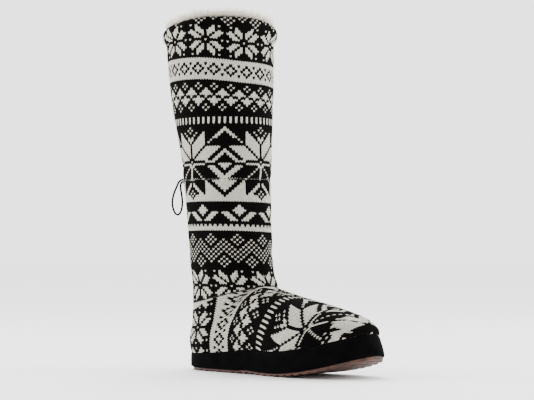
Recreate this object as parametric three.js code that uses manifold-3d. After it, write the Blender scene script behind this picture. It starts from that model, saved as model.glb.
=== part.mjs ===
// Tall knitted slipper boot for the right foot, standing empty on its sole.
// Millimetres. +X runs to the toe, +Y to the wearer's left (the inner side), +Z up.
// The origin is on the floor under the heel.

import * as THREE from 'three';
import Module from 'manifold-3d';

const wasm = await Module();
wasm.setup();

// Driving dimensions of the sole
const soleLength = 258;
const ballWidth = 95;
const heelSetback = 40; // the heel's back lies this far behind the origin
const toeSpring = 22.7;
const archLift = 1.2;
const outsoleSheet = 1.6;
const outsoleInset = 3;
const ribHeight = 1.4;
const ribWidth = 5;
const ribPitch = 10.5;
const platformHeel = 15.9; // height of the wrapped platform at the heel
const platformBall = 23.8; // and from the ball forwards
const insoleThickness = 4;

// Driving dimensions of the knitted foot
const knitWall = 2.8;
const heelSeamHeight = 76; // ankle seam over the floor at the heel's back
const instepHeight = 96; // and at the front of the ankle
const seamDip = 1.6; // how late the seam rises towards the front
const upperInset = 1.2; // the knit stands in from the platform's edge
const heelBulge = 2.4; // the knit swells this far over the platform's edge
const bulgeTop = 0.55; // and lies flat again at this share of its rise
const heelStraight = 1.6; // how late the heel's wall leans in

// Driving dimensions of the shaft
const bootHeight = 393; // top of the cuff over the floor
const ankleDepth = 100;
const ankleWidth = 88;
const collarDepth = 124;
const collarWidth = 121;
const ankleCentre = 12; // middle of the tube ahead of the origin at the ankle
const collarCentre = -8; // and at the collar, where the shaft leans back
const collarRise = 3.5; // high sides of the saddle-shaped rim over its mean
const cuffHeight = 16; // rolled cuff from its crease to the rim
const cuffDepth = 4; // how far the roll stands out
const cinchHeight = 217; // drawcord channel over the floor
const cinchDepth = 1.2;
const cinchWidth = 12;

// Driving dimensions of the trim
const furHeight = 60; // lining inside the collar, below the rim
const furThickness = 4.5;
const lockHeight = 7; // locks stand this far over the rim
const lockWidth = 9.5;
const lockLean = 1.2; // a lock's tip stands this far out from its root
const eyeletRadius = 4.8;
const eyeletBore = 3;
const eyeletSheet = 0.7;
const cordDiameter = 2.3;
const pieceGap = 0.3;

// Directions seen from above, in degrees from the toe, turning to the inner side
const eyeletBearing = -136;
const highRimBearing = -46;

// Mesh resolution
const ankleSteps = 21; // columns round one half of the ankle
const vampSteps = 18; // columns from the ankle to the toe on one side
const riseSteps = 9; // rows from the platform up the foot
const cordSteps = 40;
const eyeletSides = 16;

// Outline of the platform, as shares of the sole's length and the ball width
const outlineShape = [
  { along: 0, outer: 0, inner: 0 },
  { along: 0.012, outer: 0.17, inner: 0.17 },
  { along: 0.055, outer: 0.295, inner: 0.3 },
  { along: 0.15, outer: 0.375, inner: 0.38 },
  { along: 0.29, outer: 0.39, inner: 0.355 },
  { along: 0.44, outer: 0.42, inner: 0.335 },
  { along: 0.58, outer: 0.475, inner: 0.4 },
  { along: 0.7, outer: 0.495, inner: 0.485 },
  { along: 0.82, outer: 0.43, inner: 0.505 },
  { along: 0.92, outer: 0.29, inner: 0.45 },
  { along: 0.985, outer: 0.06, inner: 0.27 },
  { along: 1, outer: -0.11, inner: 0.11 },
].map((row) => ({ ...row, turn: Math.acos(1 - 2 * row.along) }));

// Where the sole touches down and lifts, as shares of its length
const soleZones = { archStart: 0.33, archEnd: 0.5, springStart: 0.55, fullHeight: 0.55 };

// Side of the platform: inset as a share of its corner radius, rise as a share of its height
const platformCorner = 2.5;
const platformSide = [
  { rise: 0, inset: 1 },
  { rise: 0.05, inset: 0.35 },
  { rise: 0.16, inset: 0 },
  { rise: 0.86, inset: 0 },
  { rise: 1, inset: 0.45 },
];

// Ridge of the foot from the ankle to the toe. along is a share of the sole's length,
// height a share of the instep height, round the exponent of the arch over the foot.
const ridgeShape = [
  { along: 0.42, height: 1, round: 2.5 },
  { along: 0.496, height: 0.945, round: 2.4 },
  { along: 0.562, height: 0.893, round: 2.4 },
  { along: 0.655, height: 0.835, round: 2.35 },
  { along: 0.748, height: 0.777, round: 2.3 },
  { along: 0.826, height: 0.715, round: 2.25 },
  { along: 0.88, height: 0.668, round: 2.2 },
  { along: 0.915, height: 0.632, round: 2.2 },
];
const ridgeStart = ridgeShape[0].along;
const ridgeEnd = ridgeShape[ridgeShape.length - 1].along;
const ridgeJoin = 10; // the ridge bends to the shaft's front within this length
const vampStart = 0.45; // where the arch that reaches the ankle's front begins on the sole

// How the foot's wall rises from sole to ankle. along is a share of the sole's length,
// dome goes from 0, a nearly straight wall, to 1, an arch.
const wallShape = [
  { along: 0, dome: 0 },
  { along: 0.12, dome: 0.05 },
  { along: 0.25, dome: 0.25 },
  { along: 0.36, dome: 0.7 },
  { along: vampStart, dome: 1 },
  { along: 1, dome: 1 },
];

// Shaft sections: height as a share of the boot, open from 0, the ankle's girth, to 1,
// the collar's girth, lean from 0, the ankle's middle, to 1, the collar's
const shaftShape = [
  { height: 0.19, open: 0.06, lean: -0.25 },
  { height: 0.25, open: 0.04, lean: -0.2 },
  { height: 0.28, open: -0.02, lean: 0.02 },
  { height: 0.32, open: -0.02, lean: 0.09 },
  { height: 0.38, open: 0.01, lean: 0.18 },
  { height: 0.44, open: 0.04, lean: 0.26 },
  { height: 0.5, open: 0.1, lean: 0.34 },
  { height: 0.55, open: 0.17, lean: 0.42 },
  { height: 0.61, open: 0.28, lean: 0.47 },
  { height: 0.67, open: 0.42, lean: 0.58 },
  { height: 0.73, open: 0.61, lean: 0.7 },
  { height: 0.79, open: 0.79, lean: 0.8 },
  { height: 0.85, open: 0.88, lean: 0.9 },
  { height: 0.91, open: 0.96, lean: 0.96 },
  { height: 0.96, open: 1, lean: 1 },
];

// Rolled cuff: drop as a share of its height below the rim, out as a share of its depth
const cuffShape = [
  { drop: 1.35, out: 0 },
  { drop: 1, out: 0.05 },
  { drop: 0.85, out: 0.55 },
  { drop: 0.55, out: 1 },
  { drop: 0.25, out: 0.75 },
  { drop: 0.06, out: 0.1 },
];
const cuffFoot = cuffShape[0].drop;
const cuffInside = [0.08, 0.5, cuffFoot]; // drops of the rings inside the cuff

// Helpers for tables and surfaces

const blend = (from, to, share) => from + (to - from) * share;
const radians = (degrees) => (degrees * Math.PI) / 180;

function ease(share) {
  const s = Math.min(Math.max(share, 0), 1);
  return s * s * (3 - 2 * s);
}

// Smooth curve through one column of a table whose key column rises
function follow(table, key, column, at) {
  const last = table.length - 1;
  if (at <= table[0][key]) return table[0][column];
  if (at >= table[last][key]) return table[last][column];
  const slope = (i) => {
    const before = table[Math.max(i - 1, 0)];
    const after = table[Math.min(i + 1, last)];
    return (after[column] - before[column]) / (after[key] - before[key]);
  };
  let i = 0;
  while (table[i + 1][key] < at) i += 1;
  const step = table[i + 1][key] - table[i][key];
  const t = (at - table[i][key]) / step;
  const start = table[i][column] * (2 * t ** 3 - 3 * t ** 2 + 1);
  const end = table[i + 1][column] * (3 * t ** 2 - 2 * t ** 3);
  const leaving = slope(i) * step * (t ** 3 - 2 * t ** 2 + t);
  const arriving = slope(i + 1) * step * (t ** 3 - t ** 2);
  return start + end + leaving + arriving;
}

function surface(points, faces) {
  const geometry = new THREE.BufferGeometry();
  const flat = points.flatMap((p) => [p.x, p.y, p.z]);
  geometry.setAttribute('position', new THREE.Float32BufferAttribute(flat, 3));
  geometry.setIndex(faces.flat());
  return geometry;
}

// Two triangles that face the side from which a, b, c, d turn anticlockwise
const quad = (a, b, c, d) => [[a, b, c], [a, c, d]];

// A closed body from rings of equal length that run anticlockwise seen from above.
// The last ring joins the first when loop is true, otherwise both ends are capped
// by strips between mirrored points.
function loft(rings, loop = false) {
  const count = rings[0].length;
  const at = (ring, i) => (ring % rings.length) * count + ((i + count) % count);
  const faces = [];
  const spans = loop ? rings.length : rings.length - 1;
  for (let r = 0; r < spans; r += 1) {
    for (let i = 0; i < count; i += 1) {
      faces.push(...quad(at(r, i), at(r, i + 1), at(r + 1, i + 1), at(r + 1, i)));
    }
  }
  if (!loop) {
    const top = rings.length - 1;
    const half = count / 2;
    for (let i = 0; i < half; i += 1) {
      const bottomFace = quad(at(0, -i), at(0, -i - 1), at(0, i + 1), at(0, i));
      const topFace = quad(at(top, i), at(top, i + 1), at(top, -i - 1), at(top, -i));
      const whole = (face) => new Set(face).size === 3;
      faces.push(...bottomFace.filter(whole), ...topFace.filter(whole));
    }
  }
  return surface(rings.flat(), faces);
}

function toSolid(geometry) {
  const mesh = new wasm.Mesh({
    numProp: 3,
    vertProperties: new Float32Array(geometry.getAttribute('position').array),
    triVerts: new Uint32Array(geometry.getIndex().array),
  });
  mesh.merge();
  return new wasm.Manifold(mesh);
}

function toGeometry(solid) {
  const mesh = solid.getMesh();
  const geometry = new THREE.BufferGeometry();
  geometry.setAttribute('position', new THREE.Float32BufferAttribute(mesh.vertProperties, 3));
  geometry.setIndex([...mesh.triVerts]);
  return geometry;
}

// Sole outline and lift

// The outline runs heel, outer side, toe, inner side as turn goes from 0 to two half turns
function outlineAt(turn) {
  const whole = 2 * Math.PI;
  const angle = ((turn % whole) + whole) % whole;
  const onOuter = angle <= Math.PI;
  const half = onOuter ? angle : whole - angle;
  const reach = follow(outlineShape, 'turn', onOuter ? 'outer' : 'inner', half) * ballWidth;
  const x = ((1 - Math.cos(half)) / 2) * soleLength - heelSetback;
  return new THREE.Vector2(x, onOuter ? -reach : reach);
}

function outlinePoint(turn, inset) {
  const step = 0.02;
  const along = outlineAt(turn + step).sub(outlineAt(turn - step)).normalize();
  const point = outlineAt(turn);
  return new THREE.Vector2(point.x - along.y * inset, point.y + along.x * inset);
}

const shareAlong = (x) => (x + heelSetback) / soleLength;

function soleLift(x) {
  const { archStart, archEnd, springStart } = soleZones;
  const share = shareAlong(x);
  const rise = Math.max((share - springStart) / (1 - springStart), 0);
  const inArch = Math.min(Math.max((share - archStart) / (archEnd - archStart), 0), 1);
  return toeSpring * rise ** 2 + archLift * Math.sin(Math.PI * inArch) ** 2;
}

// A point at a height square to the lifted sole
function onSole(x, y, height) {
  const slope = soleLift(x + 0.5) - soleLift(x - 0.5);
  const length = Math.hypot(1, slope);
  return new THREE.Vector3(x - (height * slope) / length, y, soleLift(x) + height / length);
}

const platformBottom = ribHeight + outsoleSheet;

function platformTop(x) {
  const share = ease(shareAlong(x) / soleZones.fullHeight);
  return platformBottom + pieceGap + blend(platformHeel, platformBall, share);
}

// Turns that share the outline into columns, the same for platform, upper and insole
const vampTurn = Math.acos(1 - 2 * vampStart);
const sideTurns = [];
for (let i = 0; i < ankleSteps; i += 1) {
  sideTurns.push((vampTurn * i) / ankleSteps);
}
for (let i = 0; i <= vampSteps; i += 1) {
  sideTurns.push(blend(vampTurn, Math.PI, i / vampSteps));
}
const lastColumn = sideTurns.length - 1;
const innerTurns = sideTurns.slice(1, lastColumn).reverse().map((turn) => 2 * Math.PI - turn);
const turns = [...sideTurns, ...innerTurns];
const columns = turns.length;

// Outsole: a moulded sheet, its underside cut across by grooves that leave the ribs

function outsoleGeometry() {
  const rings = [0, platformBottom].map((height) => turns.map((turn) => {
    const p = outlinePoint(turn, outsoleInset);
    return onSole(p.x, p.y, height);
  }));
  let sheet = toSolid(loft(rings));
  const first = -Math.ceil(heelSetback / ribPitch);
  const last = Math.floor((soleLength - heelSetback) / ribPitch);
  for (let i = first; i <= last; i += 1) {
    sheet = sheet.subtract(toSolid(grooveGeometry((i + 0.5) * ribPitch)));
  }
  return toGeometry(sheet);
}

// A groove across the sole, widening downwards, with its middle at x
function grooveGeometry(x) {
  const half = (ribPitch - ribWidth) / 2;
  const draft = 0.5;
  const corners = [
    { off: -half - draft, height: -ribHeight },
    { off: half + draft, height: -ribHeight },
    { off: half - draft, height: ribHeight },
    { off: -half + draft, height: ribHeight },
  ];
  const rings = [ballWidth, -ballWidth].map((y) => (
    corners.map(({ off, height }) => onSole(x + off, y, height))
  ));
  return fanned(rings);
}

// Platform: the thick wrapped band under the foot, leaning back with the toe spring

function platformGeometry() {
  const rings = platformSide.map(({ rise, inset }) => turns.map((turn) => {
    const p = outlinePoint(turn, inset * platformCorner);
    const low = platformBottom + pieceGap;
    return onSole(p.x, p.y, blend(low, platformTop(p.x), rise));
  }));
  return loft(rings);
}

// Insole: a pile-faced bed inside the knitted foot

function insoleGeometry() {
  const clear = upperInset + knitWall + 2 * pieceGap;
  const edge = 1;
  const layer = (height, inset) => turns.map((turn) => {
    const p = outlinePoint(turn, clear + inset);
    return onSole(p.x, p.y, platformTop(p.x) + pieceGap + height);
  });
  const rings = [
    layer(0, 0),
    layer(insoleThickness - edge, 0),
    layer(insoleThickness, edge),
  ];
  return loft(rings);
}

// Shaft sections

function shaftSection(z) {
  const height = z / bootHeight;
  const open = follow(shaftShape, 'height', 'open', height);
  const lean = follow(shaftShape, 'height', 'lean', height);
  const fromCinch = Math.abs(z - cinchHeight) / (cinchWidth / 2);
  const cinch = cinchDepth * (1 - ease(fromCinch));
  return {
    centre: blend(ankleCentre, collarCentre, lean),
    depth: blend(ankleDepth, collarDepth, open) / 2 - cinch,
    width: blend(ankleWidth, collarWidth, open) / 2 - cinch,
  };
}

// A point of the shaft at a bearing and height, moved outwards by out
function onShaft(bearing, z, out = 0) {
  const { centre, depth, width } = shaftSection(z);
  const x = centre + (depth + out) * Math.cos(bearing);
  return new THREE.Vector3(x, (width + out) * Math.sin(bearing), z);
}

function seamHeight(bearing) {
  const forward = ((1 + Math.cos(bearing)) / 2) ** seamDip;
  return blend(heelSeamHeight, instepHeight, forward);
}

function rimHeight(bearing) {
  return bootHeight + collarRise * Math.cos(2 * (bearing - radians(highRimBearing)));
}

// Upper: the knitted foot as one wall, from the platform to the ankle seam and the ridge

const ridgeInset = upperInset + 1;
const ridgeFront = ridgeStart * soleLength - heelSetback;

// Top of the wall at a column: on the ankle seam behind, on the ridge in front
function wallTop(column) {
  const side = Math.min(column, columns - column);
  if (side <= ankleSteps) {
    const bearing = Math.PI * (1 - side / ankleSteps) * (column <= lastColumn ? -1 : 1);
    return onShaft(bearing, seamHeight(bearing) - pieceGap / 2);
  }
  const reach = (1 - Math.cos(turns[side])) / 2;
  const share = (reach - vampStart) / (1 - vampStart);
  const along = blend(ridgeStart, ridgeEnd, share);
  const x = along * soleLength - heelSetback;
  const toShaft = onShaft(0, instepHeight - pieceGap / 2).x - ridgeFront;
  const joined = Math.max(1 - (x - ridgeFront) / ridgeJoin, 0);
  const sway = ease((along - ridgeStart) / (ridgeEnd - ridgeStart));
  const toeSide = outlinePoint(Math.PI, ridgeInset).y;
  const height = follow(ridgeShape, 'along', 'height', along) * instepHeight - pieceGap / 2;
  return new THREE.Vector3(x + toShaft * joined, toeSide * sway, height);
}

function upperPoint(column, rise) {
  const turn = turns[column];
  const reach = (1 - Math.cos(turn)) / 2;
  const foot = outlinePoint(turn, upperInset);
  const base = onSole(foot.x, foot.y, platformTop(foot.x) + pieceGap);
  const top = wallTop(column);
  const along = Math.max(shareAlong(top.x), ridgeStart);
  const round = follow(ridgeShape, 'along', 'round', along);
  const dome = follow(wallShape, 'along', 'dome', reach);
  const angle = (rise * Math.PI) / 2;
  const archUp = Math.sin(angle) ** (2 / round);
  const archIn = 1 - Math.cos(angle) ** (2 / round);
  const up = blend(rise, archUp, dome);
  const inwards = blend(rise ** heelStraight, archIn, dome);
  const swell = heelBulge * Math.sin(Math.PI * Math.min(up / bulgeTop, 1)) * (1 - dome / 2);
  const outside = outlinePoint(turn, upperInset - swell);
  const point = new THREE.Vector3(
    blend(base.x, top.x, inwards),
    blend(base.y, top.y, inwards),
    blend(base.z, top.z, up),
  );
  point.x += outside.x - foot.x;
  point.y += outside.y - foot.y;
  return point;
}

function upperGeometry() {
  const onRidge = (i) => i > ankleSteps && i < columns - ankleSteps;
  const topColumn = (i) => (i > lastColumn && i <= columns - ankleSteps ? columns - i : i);
  const id = (row, i) => {
    const column = (i + columns) % columns;
    return row * columns + (row === riseSteps ? topColumn(column) : column);
  };
  const outerPoints = [];
  for (let row = 0; row <= riseSteps; row += 1) {
    for (let i = 0; i < columns; i += 1) {
      outerPoints.push(upperPoint(i, row / riseSteps));
    }
  }
  const skin = [];
  for (let row = 0; row < riseSteps; row += 1) {
    for (let i = 0; i < columns; i += 1) {
      const faces = quad(id(row, i), id(row, i + 1), id(row + 1, i + 1), id(row + 1, i));
      skin.push(...faces.filter((face) => new Set(face).size === 3));
    }
  }
  const outer = surface(outerPoints, skin);
  outer.computeVertexNormals();
  const normals = outer.getAttribute('normal');
  const shift = outerPoints.length;
  const innerPoints = outerPoints.map((point, k) => {
    const normal = new THREE.Vector3().fromBufferAttribute(normals, k);
    const row = Math.floor(k / columns);
    const isRim = row === 0 || (row === riseSteps && !onRidge(k % columns));
    if (isRim) normal.setZ(0).normalize();
    return point.clone().addScaledVector(normal, -knitWall);
  });
  const lining = skin.map(([a, b, c]) => [shift + a, shift + c, shift + b]);
  const rims = [];
  for (let i = 0; i < columns; i += 1) {
    const [a, b] = [id(0, i), id(0, i + 1)];
    rims.push(...quad(b, a, shift + a, shift + b));
    const [c, d] = [id(riseSteps, i), id(riseSteps, i + 1)];
    const behind = i < ankleSteps || i >= columns - ankleSteps;
    if (behind) rims.push(...quad(c, d, shift + d, shift + c));
  }
  return usedPoints(surface([...outerPoints, ...innerPoints], [...skin, ...lining, ...rims]));
}

// Drops points that no face uses
function usedPoints(geometry) {
  const index = [...geometry.getIndex().array];
  const position = geometry.getAttribute('position');
  const fresh = new Map();
  for (const k of index) {
    if (!fresh.has(k)) fresh.set(k, fresh.size);
  }
  const points = [...fresh.keys()].map((k) => new THREE.Vector3().fromBufferAttribute(position, k));
  const faces = index.map((k) => fresh.get(k));
  return surface(points, [faces]);
}

// Shaft: the knitted tube from the ankle seam to the rolled cuff, pierced for the eyelet

const bearings = [];
for (let i = 0; i < 2 * ankleSteps; i += 1) {
  bearings.push(-Math.PI + (Math.PI * i) / ankleSteps);
}

// Rows of the tube, as shares of the way from the seam to the foot of the cuff
function shaftRows() {
  const low = heelSeamHeight / bootHeight;
  const high = 1 - (cuffFoot * cuffHeight) / bootHeight;
  const nearest = 0.02; // rows closer than this share to an end or to the channel are left out
  const rows = shaftShape.map((row) => (row.height - low) / (high - low));
  const half = cinchWidth / 2;
  const span = (high - low) * bootHeight;
  const channel = [-half, 0, half].map((off) => (cinchHeight + off - low * bootHeight) / span);
  const inside = (share) => share > nearest && share < 1 - nearest;
  const clear = (share) => channel.every((c) => Math.abs(c - share) > nearest);
  const kept = rows.filter((share) => inside(share) && clear(share));
  return [0, ...kept, ...channel].sort((a, b) => a - b);
}

// Height of a ring at a bearing: along the seam at the foot, level within a quarter of the way
function shaftRing(bearing, share) {
  const foot = seamHeight(bearing) + pieceGap / 2;
  const head = rimHeight(bearing) - cuffFoot * cuffHeight;
  const level = blend(heelSeamHeight, head, share);
  return blend(blend(foot, head, share), level, ease(share / 0.25));
}

function shaftGeometry() {
  const rings = [];
  const rows = shaftRows();
  for (const share of rows) {
    rings.push(bearings.map((bearing) => onShaft(bearing, shaftRing(bearing, share))));
  }
  for (const { drop, out } of cuffShape) {
    rings.push(bearings.map((bearing) => {
      const z = rimHeight(bearing) - drop * cuffHeight;
      return onShaft(bearing, z, out * cuffDepth);
    }));
  }
  rings.push(bearings.map((bearing) => onShaft(bearing, rimHeight(bearing), -knitWall / 2)));
  for (const drop of cuffInside) {
    rings.push(bearings.map((bearing) => {
      const z = rimHeight(bearing) - drop * cuffHeight;
      return onShaft(bearing, z, -knitWall);
    }));
  }
  // The inner face takes every row near the seam and in the flare, and every second one between
  const isFine = (share) => share < 0.1 || share > 0.75;
  const innerRows = rows.filter((share, k) => k % 2 === 0 || isFine(share)).reverse();
  for (const share of innerRows) {
    rings.push(bearings.map((b) => onShaft(b, shaftRing(b, share), -knitWall)));
  }
  const holeRadius = eyeletBarrel + pieceGap;
  const holeLength = 4 * knitWall;
  const hole = new THREE.CylinderGeometry(holeRadius, holeRadius, holeLength, eyeletSides);
  hole.deleteAttribute('uv');
  hole.deleteAttribute('normal');
  placeAtEyelet(hole);
  return toGeometry(toSolid(loft(rings, true)).subtract(toSolid(hole)));
}

// Eyelet and drawcord share one frame: out of the wall, across it and up

const eyeletAngle = radians(eyeletBearing);
const eyeletBarrel = eyeletBore + eyeletSheet;
const exit = onShaft(eyeletAngle, cinchHeight);
const { depth: exitDepth, width: exitWidth } = shaftSection(cinchHeight);
const outwards = new THREE.Vector3(
  Math.cos(eyeletAngle) / exitDepth,
  Math.sin(eyeletAngle) / exitWidth,
  0,
).normalize();
const upwards = new THREE.Vector3(0, 0, 1);
const across = new THREE.Vector3().crossVectors(outwards, upwards);

// Turns a shape made round its own Y axis to point out of the wall at the eyelet
function placeAtEyelet(geometry) {
  const frame = new THREE.Matrix4().makeBasis(across, outwards, upwards);
  geometry.applyMatrix4(frame.setPosition(exit));
  return geometry;
}

function eyeletGeometry() {
  const outer = cinchDepth + pieceGap;
  const back = -knitWall - 2 * pieceGap;
  const edge = 0.6 * eyeletSheet; // thickness of the outer flange at its rounded edge
  const profile = [
    [eyeletBore, back - eyeletSheet],
    [eyeletRadius, back - eyeletSheet],
    [eyeletRadius, back],
    [eyeletBarrel, back],
    [eyeletBarrel, outer],
    [eyeletRadius, outer],
    [eyeletRadius, outer + edge],
    [eyeletBarrel, outer + eyeletSheet],
    [eyeletBore, outer + eyeletSheet],
    [eyeletBore, back - eyeletSheet],
  ].map(([r, y]) => new THREE.Vector2(r, y));
  const ring = new THREE.LatheGeometry(profile, eyeletSides);
  ring.deleteAttribute('uv');
  ring.deleteAttribute('normal');
  return toGeometry(toSolid(placeAtEyelet(ring)));
}

// Drawcord loop: points chosen by hand as millimetres out of the wall, across and down
const cordRoute = [
  { out: -3, side: 0, down: -1.25 },
  { out: 0.5, side: 0, down: -1.25 },
  { out: 3.6, side: 0, down: -1 },
  { out: 7.1, side: 0, down: 1.4 },
  { out: 9.8, side: 0, down: 7.4 },
  { out: 12.8, side: 0, down: 14.6 },
  { out: 14.5, side: 0, down: 22.6 },
  { out: 14.2, side: 0.3, down: 30.2 },
  { out: 12, side: 0.6, down: 36.4 },
  { out: 8.8, side: 0.8, down: 39.2 },
  { out: 5.6, side: 0.8, down: 36.8 },
  { out: 3.8, side: 0.6, down: 31.4 },
  { out: 3.2, side: 0.4, down: 24.8 },
  { out: 3.8, side: 0.2, down: 17.6 },
  { out: 4.8, side: 0, down: 11.6 },
  { out: 5.3, side: 0, down: 6.8 },
  { out: 4.8, side: 0, down: 3.4 },
  { out: 2.8, side: 0, down: 1.45 },
  { out: 0, side: 0, down: 1.25 },
  { out: -3, side: 0, down: 1.25 },
];

function cordGeometry() {
  const route = cordRoute.map(({ out, side, down }) => exit.clone()
    .addScaledVector(outwards, out)
    .addScaledVector(across, side)
    .addScaledVector(upwards, -down));
  const sides = 8;
  const section = new THREE.Shape();
  for (let i = 0; i < sides; i += 1) {
    const angle = (2 * Math.PI * i) / sides;
    const [x, y] = [Math.cos(angle), Math.sin(angle)].map((v) => (v * cordDiameter) / 2);
    if (i === 0) section.moveTo(x, y);
    else section.lineTo(x, y);
  }
  section.closePath();
  const tube = new THREE.ExtrudeGeometry(section, {
    steps: cordSteps,
    bevelEnabled: false,
    curveSegments: 1,
    extrudePath: new THREE.CatmullRomCurve3(route),
  });
  tube.deleteAttribute('uv');
  tube.deleteAttribute('normal');
  return toGeometry(toSolid(indexed(tube)));
}

// Gives a loose list of triangles its index
function indexed(geometry) {
  const count = geometry.getAttribute('position').count;
  geometry.setIndex([...Array(count).keys()]);
  return geometry;
}

// Fur collar: a pile ring inside the cuff with pointed locks fused on over the rim

function furGeometry() {
  const outside = -knitWall - pieceGap;
  const inside = outside - furThickness;
  const profile = [
    { drop: furHeight, out: outside - 0.5 },
    { drop: furHeight / 2, out: outside - 0.2 },
    { drop: 1, out: outside },
    { drop: -lockHeight * 0.25, out: outside - 0.6 },
    { drop: -lockHeight * 0.3, out: (outside + inside) / 2 },
    { drop: 0, out: inside - 0.5 },
    { drop: furHeight, out: inside + 1 },
  ];
  const rings = profile.map(({ drop, out }) => bearings.map((bearing) => {
    const z = rimHeight(bearing) - drop;
    return onShaft(bearing, z, out);
  }));
  let pile = toSolid(loft(rings, true));
  const lockCount = Math.round((Math.PI * (collarDepth + collarWidth)) / 2 / lockWidth);
  for (let i = 0; i < lockCount; i += 1) {
    const bearing = (2 * Math.PI * i) / lockCount;
    const wander = Math.sin(i * 2.4);
    pile = pile.add(toSolid(lockGeometry(bearing, wander, (outside + inside) / 2)));
  }
  return toGeometry(pile);
}

// One lock of pile: a four-sided point that leans round the collar
function lockGeometry(bearing, wander, out) {
  const sides = 4;
  const stray = 0.13 * furThickness;
  const root = onShaft(bearing, rimHeight(bearing) - lockHeight * 0.2, out + stray * wander);
  const heightWaves = 5; // locks grow taller and shorter this often round the collar
  const tip = rimHeight(bearing) + lockHeight * (0.85 + 0.15 * Math.cos(heightWaves * bearing));
  const outward = new THREE.Vector3(Math.cos(bearing), Math.sin(bearing), 0);
  const around = new THREE.Vector3(-outward.y, outward.x, 0);
  const levels = [
    { rise: 0, radius: lockWidth * 0.45, swing: 0 },
    { rise: 0.55, radius: lockWidth * 0.3, swing: 0.25 },
    { rise: 1, radius: lockWidth * 0.05, swing: 1 },
  ];
  const rings = levels.map(({ rise, radius, swing }) => {
    const middle = root.clone();
    middle.z = blend(root.z, tip, rise);
    middle.addScaledVector(around, wander * swing * lockWidth * 0.4);
    middle.addScaledVector(outward, swing * lockLean);
    const ring = [];
    for (let k = 0; k < sides; k += 1) {
      const angle = (2 * Math.PI * k) / sides;
      ring.push(middle.clone()
        .addScaledVector(outward, Math.cos(angle) * Math.min(radius, furThickness / 2 - stray))
        .addScaledVector(around, Math.sin(angle) * radius));
    }
    return ring;
  });
  return fanned(rings);
}

// A closed body from rings whose ends are closed by fans
function fanned(rings) {
  const count = rings[0].length;
  const faces = [];
  const at = (r, i) => r * count + (i % count);
  for (let r = 0; r < rings.length - 1; r += 1) {
    for (let i = 0; i < count; i += 1) {
      faces.push(...quad(at(r, i), at(r, i + 1), at(r + 1, i + 1), at(r + 1, i)));
    }
  }
  const top = rings.length - 1;
  for (let i = 1; i < count - 1; i += 1) {
    faces.push([at(0, 0), at(0, i + 1), at(0, i)], [at(top, 0), at(top, i), at(top, i + 1)]);
  }
  return surface(rings.flat(), faces);
}

// Assembly

const finishes = {
  rubber: { color: 0x6b4638, roughness: 0.75 },
  suede: { color: 0x111111, roughness: 0.95 },
  knit: { color: 0x55524d, roughness: 0.95 },
  fur: { color: 0xe9e4d8, roughness: 1 },
  grey: { color: 0x8c8c8a, roughness: 0.5 },
  cord: { color: 0x1c1816, roughness: 0.85 },
};

const boot = new THREE.Group();

function addPiece(name, geometry, finish) {
  geometry.computeVertexNormals();
  const material = new THREE.MeshStandardMaterial({ metalness: 0, ...finishes[finish] });
  const mesh = new THREE.Mesh(geometry, material);
  mesh.name = name;
  boot.add(mesh);
}

addPiece('outsole', outsoleGeometry(), 'rubber');
addPiece('platform', platformGeometry(), 'suede');
addPiece('insole', insoleGeometry(), 'fur');
addPiece('upper', upperGeometry(), 'knit');
addPiece('shaft', shaftGeometry(), 'knit');
addPiece('fur_collar', furGeometry(), 'fur');
addPiece('cord_eyelet', eyeletGeometry(), 'grey');
addPiece('drawcord', cordGeometry(), 'cord');

export default boot;
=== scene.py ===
"""Looks of a tall knitted slipper boot, standing empty on its sole: knit, suede, rubber, pile and cord."""

import math
from functools import lru_cache

import bpy
import numpy as np
from mathutils import Matrix, Vector


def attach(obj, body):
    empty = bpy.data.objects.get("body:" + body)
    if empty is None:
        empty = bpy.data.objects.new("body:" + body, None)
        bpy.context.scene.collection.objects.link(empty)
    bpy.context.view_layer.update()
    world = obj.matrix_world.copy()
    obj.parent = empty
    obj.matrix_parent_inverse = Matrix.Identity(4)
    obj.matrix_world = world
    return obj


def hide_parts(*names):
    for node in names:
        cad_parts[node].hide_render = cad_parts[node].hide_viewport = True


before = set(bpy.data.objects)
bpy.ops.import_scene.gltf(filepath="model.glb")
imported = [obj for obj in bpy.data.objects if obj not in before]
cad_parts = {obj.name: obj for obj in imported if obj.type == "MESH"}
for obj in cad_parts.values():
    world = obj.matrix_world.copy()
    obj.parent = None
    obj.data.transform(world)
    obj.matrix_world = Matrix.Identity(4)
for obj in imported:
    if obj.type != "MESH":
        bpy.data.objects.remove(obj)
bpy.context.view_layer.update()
bpy.ops.object.select_all(action="DESELECT")

MM = 0.001
RNG = np.random.default_rng(11)


# Camera: low, from the boot's outer front, with the view level and a little shift up

VIEW_ANGLE = math.radians(44)
VIEW_DISTANCE = 1.9
VIEW_HEIGHT = 0.138
VIEW_FOCUS = 1653  # focal length in pixels of a picture 534 wide
PICTURE = (534, 400)
ORIGIN_COLUMN, HORIZON_ROW = 225.0, 249.4  # where the origin's column and the horizon lie
SENSOR = 36


def place_camera():
    lens = bpy.data.cameras.new("camera")
    lens.sensor_width = SENSOR
    lens.lens = SENSOR * VIEW_FOCUS / PICTURE[0]
    lens.shift_x = (PICTURE[0] / 2 - ORIGIN_COLUMN) / PICTURE[0]
    lens.shift_y = (HORIZON_ROW - PICTURE[1] / 2) / PICTURE[0]
    camera = bpy.data.objects.new("camera", lens)
    bpy.context.scene.collection.objects.link(camera)
    side = VIEW_DISTANCE * math.sin(VIEW_ANGLE)
    back = -VIEW_DISTANCE * math.cos(VIEW_ANGLE)
    camera.location = (side, back, VIEW_HEIGHT)
    camera.rotation_euler = (math.pi / 2, 0, VIEW_ANGLE)
    bpy.context.scene.camera = camera


place_camera()


# Sizes in millimetres, the same as the solids'

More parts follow.
